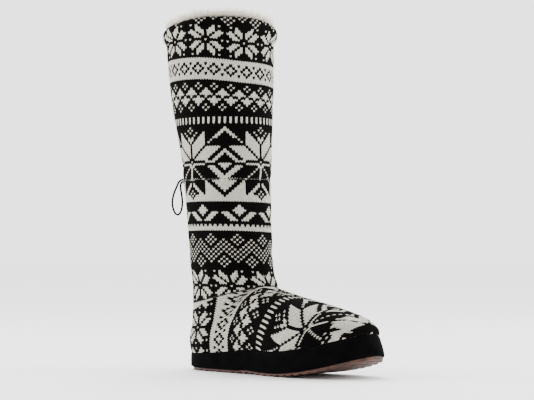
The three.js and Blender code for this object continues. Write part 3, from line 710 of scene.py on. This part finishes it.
FOOT_ROWS = smooth_table(
    (
        (-9, 0, 0, 2.1, 31, 0), (-3.9, 0.22, 0.205, 2.1, 30.8, 0),
        (1.2, 0.473, 0.44, 2.1, 30.75, 0), (9.2, 0.795, 0.735, 2.1, 30.75, 0),
        (13, 0.922, 0.851, 2.1, 30.75, 0), (22, 1.182, 1.6, 3.0, 30.6, 0),
        (37.5, 1.574, 1.83, 0.9, 28.9, 0), (46, 1.81, 2.06, 0.65, 23.7, 0.2),
        (54.5, 2.044, 2.295, 0.47, 22.4, 0.5), (61.6, 2.33, 2.53, 1.15, 22.8, 5),
        (66.3, 2.51, 2.8, 1.45, 24.4, 9), (70, 2.59, 3.25, 1.45, 24.5, 12.5),
        (72, 2.64, 3.6, 1.43, 24.3, 13.5), (80, 2.93, 4.0, 1.4, 22, 16),
        (85, 3.14, 4.3, 1.4, 19, 18),
    )
)
FIRST_FOOT_ROW, LAST_FOOT_ROW, FOOT_COLUMNS = -9, 84, 33
SOLE_PITCH = 3.1  # a column's height by the sole
DRAWN_IN = (13, 7.5)  # the row from which columns draw in towards the ridge, and over how many
RISES = np.linspace(0, 1, 161) ** 1.15  # steps up a line, closer together by the sole


@lru_cache(maxsize=None)
def foot_paths(row):
    """A line from the sole to the top: its rises and turns, and its columns there on each side."""
    start, aim, late, count, skipped = (float(FOOT_ROWS(row, i)) for i in range(5))
    end = 1.0
    if aim > math.pi:
        end = min(1.0, ((math.pi - start) / (aim - start)) ** (1 / late))
    rises = RISES * end
    turns = np.minimum(start + (aim - start) * rises**late, math.pi)
    drawn = float(ease((row - DRAWN_IN[0]) / DRAWN_IN[1]))
    sides = []
    for side in (-1, 1):
        length = lengths_along(on_foot(turns, rises, side))
        share = length / length[-1]
        straight = length[-1] / SOLE_PITCH
        curved = (count - skipped - straight) * drawn
        sides.append(count - straight * share - curved * share**2)
    return rises, turns, sides


def foot_line(half_row, columns):
    """Points of a line at its columns, counted down from the ridge on both sides."""
    rises, turns, sides = foot_paths(float(np.clip(half_row / 2, FIRST_FOOT_ROW, LAST_FOOT_ROW)))
    points = np.zeros((len(columns), 3))
    past = np.zeros(len(columns), bool)
    for side, at in zip((-1, 1), sides):
        mine = columns < 0 if side < 0 else columns >= 0
        column = np.abs(columns[mine])
        rise = np.interp(-column, -at, rises)
        turn = np.interp(-column, -at, turns)
        points[mine] = on_foot(turn, rise, side)
        past[mine] = (column > at[0] + 1e-9) | (column < at[-1] - 1e-9)
    return points, past


# White yarn on the foot that the chart doesn't give, in rows from the heel and columns from the ridge
CRESCENT, CRESCENT_END, CRESCENT_FADE = 8.5, 13, 11  # millimetres under the ankle seam, then rows
STAR_ROW, STAR_COLUMN = 54, 14  # the great star's middle
WEDGE_START, WEDGE_SPREAD = 9, 0.45  # it opens from the star to the toe, and its middle is dashed
PATCH_START, PATCH_END, PATCH_COLUMN = 7, 12, 5  # a dotted patch below the wedge, past the star
TOE_ROW = 71  # the toe beyond it is black, with a few white stitches by the sole
TOE_STITCH_ROWS, TOE_STITCH_COLUMN = 3, 18
EVERY_THIRD = 3


def foot_white(row, column, point):
    bearing = math.atan2(point[1], point[0] - ANKLE_CENTRE)
    under_seam = seam_height(bearing) - point[2]
    if row < CRESCENT_END and under_seam < CRESCENT * min(1, (CRESCENT_END - row) / CRESCENT_FADE):
        return True
    if row > TOE_ROW:
        by_sole = row < TOE_ROW + TOE_STITCH_ROWS and abs(column) > TOE_STITCH_COLUMN
        return by_sole and column % EVERY_THIRD == 0
    past, off = row - STAR_ROW, abs(column) - STAR_COLUMN
    if past > WEDGE_START and abs(off) < past * WEDGE_SPREAD:
        return off != 0 or row % EVERY_THIRD == 0
    if PATCH_START < past < PATCH_END and off > PATCH_COLUMN:
        return (row + off) % EVERY_THIRD == 0
    return is_white(row, off)


foot_rows = (FIRST_FOOT_ROW - 1, LAST_FOOT_ROW + 1)
foot_knit = lay_knit("foot_knit", foot_rows, FOOT_COLUMNS, foot_line, foot_white)


# Pieces drawn up in rings: a circle is extruded through its levels, and each level is pulled
# to its own outline


def only(piece):
    bpy.ops.object.select_all(action="DESELECT")
    piece.select_set(True)
    bpy.context.view_layer.objects.active = piece


def ringed(name, sides, levels, place, material):
    """place(angle, level) gives points in millimetres; angles run a whole turn, levels count up from 0."""
    bpy.ops.object.select_all(action="DESELECT")
    bpy.ops.mesh.primitive_circle_add(vertices=sides, radius=1, fill_type="NOTHING")
    piece = bpy.context.active_object
    piece.name = piece.data.name = name
    bpy.ops.object.mode_set(mode="EDIT")
    bpy.ops.mesh.select_all(action="SELECT")
    for _ in range(levels - 1):
        bpy.ops.mesh.extrude_region_move(TRANSFORM_OT_translate={"value": (0, 0, 1)})
    bpy.ops.object.mode_set(mode="OBJECT")
    at = np.zeros(len(piece.data.vertices) * 3)
    piece.data.vertices.foreach_get("co", at)
    at = at.reshape(-1, 3)
    whole = 2 * math.pi
    angle = np.mod(np.round(np.arctan2(at[:, 1], at[:, 0]) / whole * sides), sides) * whole / sides
    points = place(angle, np.round(at[:, 2]).astype(int)) * MM
    piece.data.vertices.foreach_set("co", points.ravel())
    piece.data.materials.append(material)
    tidy_up(piece)
    return piece


def tidy_up(piece):
    only(piece)
    bpy.ops.object.mode_set(mode="EDIT")
    bpy.ops.mesh.select_all(action="SELECT")
    bpy.ops.mesh.remove_doubles(threshold=0.00001)
    bpy.ops.mesh.normals_make_consistent(inside=False)
    bpy.ops.object.mode_set(mode="OBJECT")
    bpy.ops.object.shade_smooth()


def apply(piece, kind, **settings):
    only(piece)
    modifier = piece.modifiers.new(kind.lower(), kind)
    for key, value in settings.items():
        setattr(modifier, key, value)
    bpy.ops.object.modifier_apply(modifier=modifier.name)


def tufted(piece, tuft_mm, height_mm, middle):
    """Rounds a piece off and raises its skin in tufts."""
    texture = bpy.data.textures.new(piece.name, "CLOUDS")
    texture.noise_scale = tuft_mm * MM
    texture.noise_depth = 3
    apply(piece, "SUBSURF", levels=1, render_levels=1)
    lift = {"strength": height_mm * MM, "mid_level": middle}
    apply(piece, "DISPLACE", texture=texture, texture_coords="LOCAL", **lift)


SPINE_END = 12  # the spine stops this far from heel and toe


def spine(x):
    """Middle of the sole at a place along it."""
    turn = np.arccos(np.clip(1 - 2 * share_along(x), -1, 1))
    return (outline(turn)[1] + outline(2 * math.pi - turn)[1]) / 2


def sole_layer(turn, inset, height, inwards):
    """A point over the sole: inset from its edge, then a share of the way in to the spine."""
    x, y = outline(turn, inset)
    x_in = np.clip(x, -HEEL_SETBACK + SPINE_END, SOLE_LENGTH - HEEL_SETBACK - SPINE_END)
    return on_sole(blend(x, x_in, inwards), blend(y, spine(x_in), inwards), height)


# Platform band: suede drawn round the platform, its top edge rolled over under the knit

# Share of the height, inset in millimetres, share of the way in to the spine
BAND_SIDE = (
    (0.0, 2.5, 1.0), (0.0, 2.5, 0.3), (0.0, 2.3, 0.0), (0.015, 1.3, 0.0), (0.05, 0.55, 0.0),
    (0.11, 0.12, 0.0), (0.2, -0.05, 0.0), (0.34, -0.1, 0.0), (0.5, -0.1, 0.0),
    (0.66, -0.05, 0.0), (0.8, 0.0, 0.0), (0.9, 0.15, 0.0), (0.96, 0.5, 0.0), (0.99, 1.0, 0.0),
    (1.0, 1.8, 0.0), (1.0, 4.0, 0.1), (1.0, 4.0, 1.0),
)
SWELL_HEIGHT, SWELL_COUNT = 0.22, 23  # the suede's slow swells round the side, unevenly far apart


def band_place(turn, level):
    rise, inset, inwards = np.array(BAND_SIDE)[level].T
    x, _ = outline(turn, inset)
    low = PLATFORM_BOTTOM + PIECE_GAP
    waves = SWELL_HEIGHT * np.sin(turn * SWELL_COUNT + 2 * np.sin(turn * 5))
    swell = waves * np.sin(math.pi * rise) * (1 - inwards)
    return sole_layer(turn, inset - swell, blend(low, platform_top(x), rise), inwards)


sole_band = ringed("sole_band", 320, len(BAND_SIDE), band_place, SUEDE)

# Outsole: the ribbed sheet with its arrises rounded off

ARRIS = 0.45
outsole_tread = bpy.data.objects.new("outsole_tread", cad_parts["outsole"].data.copy())
bpy.context.scene.collection.objects.link(outsole_tread)
outsole_tread.data.materials.clear()
outsole_tread.data.materials.append(RUBBER)
tidy_up(outsole_tread)
edges = {"limit_method": "ANGLE", "angle_limit": math.radians(35)}
apply(outsole_tread, "BEVEL", width=ARRIS * MM, segments=2, **edges)
bpy.ops.object.shade_smooth_by_angle(angle=math.radians(40))

# Footbed: a soft pad with a short pile, dished under the heel and the ball

# Share of the thickness, inset in millimetres, share of the way in to the spine
BED_SIDE = (
    (0.0, 0.0, 1.0), (0.0, 0.0, 0.0), (0.5, -0.1, 0.0), (0.85, 0.3, 0.0), (1.0, 1.2, 0.0),
    (1.0, 1.2, 0.2), (0.97, 1.2, 0.45), (0.93, 1.2, 0.7), (0.9, 1.2, 0.88), (0.9, 1.2, 1.0),
)
BED_THICKNESS = 4


def bed_place(turn, level):
    rise, inset, inwards = np.array(BED_SIDE)[level].T
    inset = inset + UPPER_INSET + KNIT_WALL + 2 * PIECE_GAP
    x, _ = outline(turn, inset)
    return sole_layer(turn, inset, platform_top(x) + PIECE_GAP + rise * BED_THICKNESS, inwards)


footbed = ringed("footbed", 160, len(BED_SIDE), bed_place, FLEECE)
tufted(footbed, tuft_mm=4, height_mm=0.6, middle=0.7)

# Linings: fleece behind the knit of the shaft and of the foot

LINING_GAP, LINING_WALL = 0.5, 2.1
LINING_LEVELS = 40


def shaft_lining_place(bearing, level):
    share = level / (LINING_LEVELS - 1)
    z = blend(seam_height(bearing) + 0.4, rim_height(bearing) - 9, share)
    turned = np.where(bearing > math.pi, bearing - 2 * math.pi, bearing)
    folds = shaft_folds(on_shaft(turned, z, -LINING_GAP))
    return on_shaft(turned, z, folds - LINING_GAP)


shaft_lining = ringed("shaft_lining", 128, LINING_LEVELS, shaft_lining_place, FLEECE)
apply(shaft_lining, "SOLIDIFY", thickness=LINING_WALL * MM, offset=-1)

FOOT_LEVELS = 18


def foot_lining_place(turn, level):
    share = (level / (FOOT_LEVELS - 1)) ** 1.1
    points = np.zeros((len(turn), 3))
    for side in (-1, 1):
        mine = turn <= math.pi if side < 0 else turn > math.pi
        half = turn[mine] if side < 0 else 2 * math.pi - turn[mine]
        rise = share[mine]
        step = 0.004  # to either side, for the wall's slope
        on = on_foot(np.minimum(half + step, math.pi), rise, side)
        on -= on_foot(np.maximum(half - step, 0), rise, side)
        up = on_foot(half, rise + step, side) - on_foot(half, rise - step, side)
        normal = np.cross(on, up) * -side
        normal /= np.maximum(np.linalg.norm(normal, axis=1, keepdims=True), 1e-9)
        # Both sides meet on the ridge, so their points there move in together
        normal[(rise > 0.995) & (half > VAMP_TURN)] = (0.2, 0, 0.98)
        points[mine] = on_foot(half, rise, side) - normal * LINING_GAP
    return points


foot_lining = ringed("foot_lining", 192, FOOT_LEVELS, foot_lining_place, FLEECE)
apply(foot_lining, "SOLIDIFY", thickness=LINING_WALL * MM, offset=-1)


# Seams: round ropes of thread laid along the joins


def rope(name, points, radius, material, cyclic=False):
    """A cord of thread through points in millimetres, as a mesh with its length and turn as UVs."""
    curve = bpy.data.curves.new(name, "CURVE")
    curve.dimensions = "3D"
    spline = curve.splines.new("POLY")
    spline.points.add(len(points) - 1)
    spline.points.foreach_set("co", np.c_[np.asarray(points) * MM, np.ones(len(points))].ravel())
    spline.use_cyclic_u = cyclic
    curve.bevel_depth = radius * MM
    curve.bevel_resolution = 2
    curve.use_fill_caps = not cyclic
    piece = bpy.data.objects.new(name, curve)
    bpy.context.scene.collection.objects.link(piece)
    only(piece)
    bpy.ops.object.convert(target="MESH")
    piece = bpy.context.active_object
    piece.data.materials.append(material)
    run = piece.data.uv_layers.active or piece.data.uv_layers.new()
    run.name = "braid"
    bpy.ops.object.shade_smooth()
    return piece


ANKLE_ROPE, SEAM_ROPE = 0.9, 0.8  # their radii
ANKLE_OUT, BACK_OUT, HEEL_OUT = -0.2, 0.35, 0.4  # how far out of the knit their middles lie

bearing = np.linspace(-math.pi, math.pi, 241)[:-1]
ankle_line = on_shaft(bearing, seam_height(bearing), ANKLE_OUT)
ankle_seam = rope("ankle_seam", ankle_line, ANKLE_ROPE, BLACK_THREAD, cyclic=True)

back_z = np.linspace(HEEL_SEAM + 1, BOOT_HEIGHT - 19, 120)
back_folds = shaft_folds(on_shaft(math.pi, back_z))
back_seam = rope("back_seam", on_shaft(math.pi, back_z, back_folds + BACK_OUT), SEAM_ROPE, BLACK_THREAD)

heel_line = on_foot(np.zeros(40), np.linspace(0.01, 0.99, 40), -1) - np.array((HEEL_OUT, 0, 0))
heel_seam = rope("heel_seam", heel_line, SEAM_ROPE, BLACK_THREAD)

# Drawcord channel: a line of machine stitches round the shaft over the cord's channel

STITCH_LENGTH, STITCH_GAP, STITCH_LIFT = 3.4, 1.1, 0.85
channel = on_shaft(bearing, np.full(len(bearing), CINCH_HEIGHT), 0.95)
around = np.linalg.norm(np.diff(np.r_[channel, channel[:1]], axis=0), axis=1).sum()
stitch_count = int(around / (STITCH_LENGTH + STITCH_GAP))


def channel_stitches():
    """One stitch is modelled as a long bead, and copied round the shaft."""
    bpy.ops.object.select_all(action="DESELECT")
    bpy.ops.mesh.primitive_uv_sphere_add(segments=8, ring_count=6, radius=0.5 * MM)
    bead = bpy.context.active_object
    bpy.ops.object.mode_set(mode="EDIT")
    bpy.ops.mesh.select_all(action="SELECT")
    bpy.ops.transform.resize(value=(0.8, STITCH_LENGTH, 0.9))
    bpy.ops.object.mode_set(mode="OBJECT")
    copies = []
    for i in range(stitch_count):
        angle = 2 * math.pi * i / stitch_count
        fold = shaft_folds(on_shaft(angle, CINCH_HEIGHT)[None])[0]
        place = on_shaft(angle, CINCH_HEIGHT, STITCH_LIFT + fold) * MM
        ahead = on_shaft(angle + 0.01, CINCH_HEIGHT) - on_shaft(angle - 0.01, CINCH_HEIGHT)
        turn = math.atan2(ahead[1], ahead[0]) - math.pi / 2
        copy = bead.copy()
        copy.data = bead.data.copy()
        copy.data.transform(Matrix.Translation(Vector(place)) @ Matrix.Rotation(turn, 4, "Z"))
        bpy.context.scene.collection.objects.link(copy)
        copies.append(copy)
    bpy.data.objects.remove(bead)
    bpy.ops.object.select_all(action="DESELECT")
    for copy in copies:
        copy.select_set(True)
    bpy.context.view_layer.objects.active = copies[0]
    bpy.ops.object.join()
    piece = bpy.context.active_object
    piece.name = piece.data.name = "channel_stitches"
    piece.data.uv_layers.active.name = "braid"
    piece.data.materials.append(THREAD)
    bpy.ops.object.shade_smooth()
    return piece


channel_thread = channel_stitches()

# Eyelet and drawcord share one frame: out of the wall, across it and up

exit_point = on_shaft(EYELET_BEARING, CINCH_HEIGHT)
_, exit_depth, exit_width = shaft_section(CINCH_HEIGHT)
outwards = np.array((math.cos(EYELET_BEARING) / exit_depth, math.sin(EYELET_BEARING) / exit_width, 0))
outwards /= np.linalg.norm(outwards)
upwards = np.array((0.0, 0.0, 1.0))
across = np.cross(outwards, upwards)

# Millimetres from the eyelet's middle and out of the wall, round the ring's rolled section
EYELET_RING = (
    (3.0, -3.9), (4.6, -3.95), (4.8, -3.7), (4.7, -3.45), (3.7, -3.4), (3.7, 1.5), (4.6, 1.5),
    (4.8, 1.7), (4.65, 2.0), (4.2, 2.2), (3.6, 2.25), (3.2, 2.1), (3.0, 1.75),
)


def spun_eyelet():
    """The ring's section is drawn once and spun round the hole's axis."""
    mesh = bpy.data.meshes.new("eyelet_ring")
    section = [(exit_point + across * r + outwards * out) * MM for r, out in EYELET_RING]
    count = len(section)
    mesh.from_pydata([tuple(p) for p in section], [(i, (i + 1) % count) for i in range(count)], [])
    piece = bpy.data.objects.new("eyelet_ring", mesh)
    bpy.context.scene.collection.objects.link(piece)
    only(piece)
    bpy.ops.object.mode_set(mode="EDIT")
    bpy.ops.mesh.select_all(action="SELECT")
    bpy.ops.mesh.spin(steps=48, angle=2 * math.pi, center=tuple(exit_point * MM), axis=tuple(outwards))
    bpy.ops.object.mode_set(mode="OBJECT")
    piece.data.materials.append(GREY_PAINT)
    tidy_up(piece)
    bpy.ops.object.shade_smooth_by_angle(angle=math.radians(35))
    return piece


eyelet_ring = spun_eyelet()

# The drawcord's route: millimetres out of the wall, across it and down
CORD_ROUTE = (
    (-3, 0, -1.25), (0.5, 0, -1.25), (3.6, 0, -1), (7.1, 0, 1.4), (9.8, 0, 7.4),
    (12.8, 0, 14.6), (14.5, 0, 22.6), (14.2, 0.3, 30.2), (12, 0.6, 36.4), (8.8, 0.8, 39.2),
    (5.6, 0.8, 36.8), (3.8, 0.6, 31.4), (3.2, 0.4, 24.8), (3.8, 0.2, 17.6), (4.8, 0, 11.6),
    (5.3, 0, 6.8), (4.8, 0, 3.4), (2.8, 0, 1.45), (0, 0, 1.25), (-3, 0, 1.25),
)
CORD_STEPS, CORD_SIDES = 300, 16
STRAND_PITCH, STRAND_RELIEF = 4.4, 0.06


def braided_cord():
    """A round tube through the route, its skin raised in crossing strands."""
    route = np.array([exit_point + outwards * o + across * s - upwards * d for o, s, d in CORD_ROUTE])
    track = smooth_table([(i, *p) for i, p in enumerate(route)])
    fine = np.linspace(0, len(route) - 1, 20 * len(route))
    path = np.stack([track(fine, i) for i in range(3)], -1)
    run = lengths_along(path)
    spots = np.linspace(0, run[-1], CORD_STEPS)
    path = np.stack([np.interp(spots, run, path[:, i]) for i in range(3)], -1)
    ahead = np.gradient(path, axis=0)
    ahead /= np.linalg.norm(ahead, axis=1, keepdims=True)
    side = np.tile(across, (len(path), 1))
    side -= ahead * (side * ahead).sum(1, keepdims=True)
    side /= np.linalg.norm(side, axis=1, keepdims=True)
    other = np.cross(ahead, side)
    angle = np.arange(CORD_SIDES) * 2 * math.pi / CORD_SIDES
    strand = 2 * math.pi * spots[:, None] / STRAND_PITCH
    weave = np.cos(4 * angle + strand) * np.cos(4 * angle - strand)
    radius = CORD_DIAMETER / 2 + STRAND_RELIEF * weave
    points = path[:, None] + side[:, None] * (np.cos(angle) * radius)[..., None]
    points += other[:, None] * (np.sin(angle) * radius)[..., None]
    flat = points.reshape(-1, 3)
    faces = grid_faces(len(path), CORD_SIDES, closed=True).tolist()
    faces += [list(range(CORD_SIDES))[::-1], list(range(len(flat) - CORD_SIDES, len(flat)))]
    piece = add_mesh("drawcord_loop", flat, faces, BRAID)
    layer = piece.data.uv_layers.new(name="braid")
    for face in piece.data.polygons:
        turns = [v % CORD_SIDES for v in face.vertices]
        seam = max(turns) - min(turns) > CORD_SIDES / 2
        for loop, v, turn in zip(face.loop_indices, face.vertices, turns):
            turn += CORD_SIDES if seam and turn < CORD_SIDES / 2 else 0
            layer.data[loop].uv = (spots[v // CORD_SIDES], turn / CORD_SIDES * math.pi * CORD_DIAMETER)
    tidy_up(piece)
    return piece, path * MM, float(spots[-1]) * MM


drawcord, cord_path, cord_length = braided_cord()


# Pile collar: a soft ring inside the cuff, covered in curling locks

# Millimetres below the rim and out from the tube, round the ring's section
FUR_SIDE = (
    (60.0, -3.6), (30.0, -3.3), (8.0, -3.2), (1.5, -3.3), (-1.2, -4.0), (-1.8, -5.4),
    (-0.6, -7.3), (3.0, -8.2), (15.0, -7.9), (30.0, -7.5), (50.0, -7.0), (60.0, -6.2),
    (60.0, -3.6),
)


def fur_place(angle, level):
    drop, out = np.array(FUR_SIDE)[level].T
    turned = np.where(angle > math.pi, angle - 2 * math.pi, angle)
    return on_shaft(turned, rim_height(turned) - drop, out)


LOCK_LEVELS = ((0.0, 1.0), (0.35, 0.85), (0.7, 0.5))  # shares of a lock's length and of its width
LOCK_POINTS = 4 * len(LOCK_LEVELS) + 1
LOCK_FLATNESS, LOCK_SPREAD, LOCK_CURL = 0.6, 0.28, 0.3
RIM_MIDDLE, RIM_REACH, RIM_FAN = -5.4, 1.8, 0.35  # the pile's edge, and how far its locks fan out

# How many, highest and lowest root below the rim, innermost and outermost root, length, half width
LOCK_ZONES = (
    (4800, -1.5, 1.5, -7.2, -3.4, 8.4, 0.55), (1500, 1.5, 14, -8.0, -8.0, 6.0, 1.05),
    (1300, 14, 60, -7.8, -7.2, 5.0, 1.2),
)


def curl_locks(roots, towards, lengths, widths, swings):
    """Points of four-sided locks, each bending over and tapering to a point."""
    side = np.cross(towards, RNG.normal(size=towards.shape))
    side /= np.linalg.norm(side, axis=1, keepdims=True)
    other = np.cross(towards, side)
    points = []
    for rise, share in LOCK_LEVELS:
        middle = roots + towards * (lengths * rise)[:, None] + swings * (lengths * rise**2)[:, None]
        reach = (widths * share)[:, None]
        for angle in np.arange(4) * math.pi / 2:
            flat = other * math.sin(angle) * reach * LOCK_FLATNESS
            points.append(middle + side * math.cos(angle) * reach + flat)
    points.append(roots + towards * lengths[:, None] + swings * lengths[:, None])
    return np.stack(points, 1).reshape(-1, 3)


def pile_locks():
    """The locks on the rim stand up and fan out, and those below it curl down inside the tube."""
    parts = []
    for count, high, low, inner, outer, length, width in LOCK_ZONES:
        angle = RNG.uniform(-math.pi, math.pi, count)
        drop = RNG.uniform(high, low, count)
        place = np.full(count, inner) if inner == outer else RNG.uniform(inner, outer, count)
        roots = on_shaft(angle, rim_height(angle) - np.maximum(drop, -0.6), place)
        radial = np.stack([np.cos(angle), np.sin(angle), np.zeros(count)], -1)
        if high < 0:
            lean = (place - RIM_MIDDLE) / RIM_REACH
            towards = radial * (RIM_FAN * lean)[:, None] + np.array((0, 0, 1.0))
        else:
            towards = -radial + np.array((0, 0, 0.5)) * RNG.uniform(0.2, 1.2, (count, 1))
        towards = towards + RNG.normal(scale=LOCK_SPREAD, size=(count, 3))
        towards /= np.linalg.norm(towards, axis=1, keepdims=True)
        swings = RNG.normal(scale=LOCK_CURL, size=(count, 3))
        lengths = length * RNG.uniform(0.7, 1.15, count)
        parts.append(curl_locks(roots, towards, lengths, width * RNG.uniform(0.75, 1.25, count), swings))
    points = np.concatenate(parts)
    starts = range(0, len(points), LOCK_POINTS)
    top = LOCK_POINTS - 5
    lock = grid_faces(len(LOCK_LEVELS), 4, closed=True).tolist()
    lock += [[top + i, top + (i + 1) % 4, LOCK_POINTS - 1] for i in range(4)]
    faces = [[start + v for v in face] for start in starts for face in lock]
    piece = add_mesh("pile_locks", points, faces, PILE)
    rises = np.repeat([rise for rise, _ in LOCK_LEVELS], 4)
    mark_points(piece, "tip", np.tile(np.r_[rises, 1.0], len(starts)))
    return piece


collar_pile = ringed("collar_pile", 256, len(FUR_SIDE), fur_place, PILE)
tufted(collar_pile, tuft_mm=3, height_mm=1.2, middle=0.6)
locks = pile_locks()


# Stage: a plain pale floor and soft studio light


def add_lamp(name, kind, place, aim, energy):
    light = bpy.data.lights.new(name, kind)
    light.energy = energy
    lamp = bpy.data.objects.new(name, light)
    bpy.context.scene.collection.objects.link(lamp)
    lamp.location = place
    lamp.rotation_euler = (Vector(aim) - Vector(place)).to_track_quat("-Z", "Y").to_euler()
    return light


FLOOR_RADIUS, FLOOR_DROP = 14, 0.0002  # in metres


def studio():
    bpy.ops.object.select_all(action="DESELECT")
    bpy.ops.mesh.primitive_circle_add(
        vertices=96, radius=FLOOR_RADIUS, fill_type="NGON", location=(0, 0, -FLOOR_DROP)
    )
    floor = bpy.context.active_object
    floor.name = "floor"
    # Studio paper: white, dull and almost even
    material, tree, shader, place = finish("pale_paper_floor", 0.9, specular=0.1)
    fibre = node(tree, "ShaderNodeTexNoise", [("Vector", place)], Scale=40.0, Detail=2.0)
    stops = ((0, "#f6f6f5"), (1, "#fbfbfa"))
    paper = node(tree, "ShaderNodeValToRGB", [("Fac", fibre.outputs["Fac"])], stops)
    tree.links.new(paper.outputs["Color"], shader.inputs["Base Color"])
    floor.data.materials.append(material)
    # The backdrop behind the boot is brighter than the room, and the skylight makes up for it below
    world = bpy.data.worlds.new("studio")
    world.use_nodes = True
    tree = world.node_tree
    way = node(tree, "ShaderNodeTexCoord")
    view = [(0, way.outputs["Generated"]), (1, (-math.sin(VIEW_ANGLE), math.cos(VIEW_ANGLE), 0))]
    facing = node(tree, "ShaderNodeVectorMath", view, operation="DOT_PRODUCT").outputs["Value"]
    glow = {"From_Min": -0.2, "From_Max": 0.8, "To_Min": 1.4, "To_Max": 2.8}
    strength = node(tree, "ShaderNodeMapRange", [("Value", facing)], interpolation_type="SMOOTHSTEP", **glow)
    backdrop = tree.nodes["Background"]
    backdrop.inputs["Color"].default_value = linear("#ffffff")
    tree.links.new(strength.outputs["Result"], backdrop.inputs["Strength"])
    bpy.context.scene.world = world
    # Soft boxes to either side, in metres and watts, and a broad skylight from behind the boot
    for name, place in (("left", (-1.3, -0.9, 0.8)), ("right", (1.0, 1.2, 0.9))):
        add_lamp(name, "AREA", place, (0.05, 0, 0.15), 30).size = 1.2
    add_lamp("skylight", "SUN", (0, 0, 0), (0.45, -0.45, -1), 3.7).angle = math.radians(40)


studio()

# What each piece rides on and stands for

PIECES = (
    (outsole_tread, ("outsole",), "outsole_rubber"),
    (sole_band, ("platform",), "black_suede"),
    (footbed, ("insole",), "footbed_pile"),
    (foot_knit, ("upper",), "foot_knit"),
    (foot_lining, ("upper",), "footbed_pile"),
    (heel_seam, ("upper",), "foot_knit"),
    (shaft_knit, ("shaft",), "shaft_knit"),
    (cuff_knit, ("shaft",), "shaft_knit"),
    (shaft_lining, ("shaft",), "footbed_pile"),
    (ankle_seam, ("shaft",), "shaft_knit"),
    (back_seam, ("shaft",), "shaft_knit"),
    (channel_thread, ("shaft",), "shaft_knit"),
    (collar_pile, ("fur_collar",), "collar_pile"),
    (locks, ("fur_collar",), "collar_pile"),
    (eyelet_ring, ("cord_eyelet",), "eyelet_grey"),
    (drawcord, ("drawcord",), "drawcord_black"),
)
for piece, nodes, slot in PIECES:
    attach(piece, "root")
    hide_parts(*nodes)

bpy.context.view_layer.update()
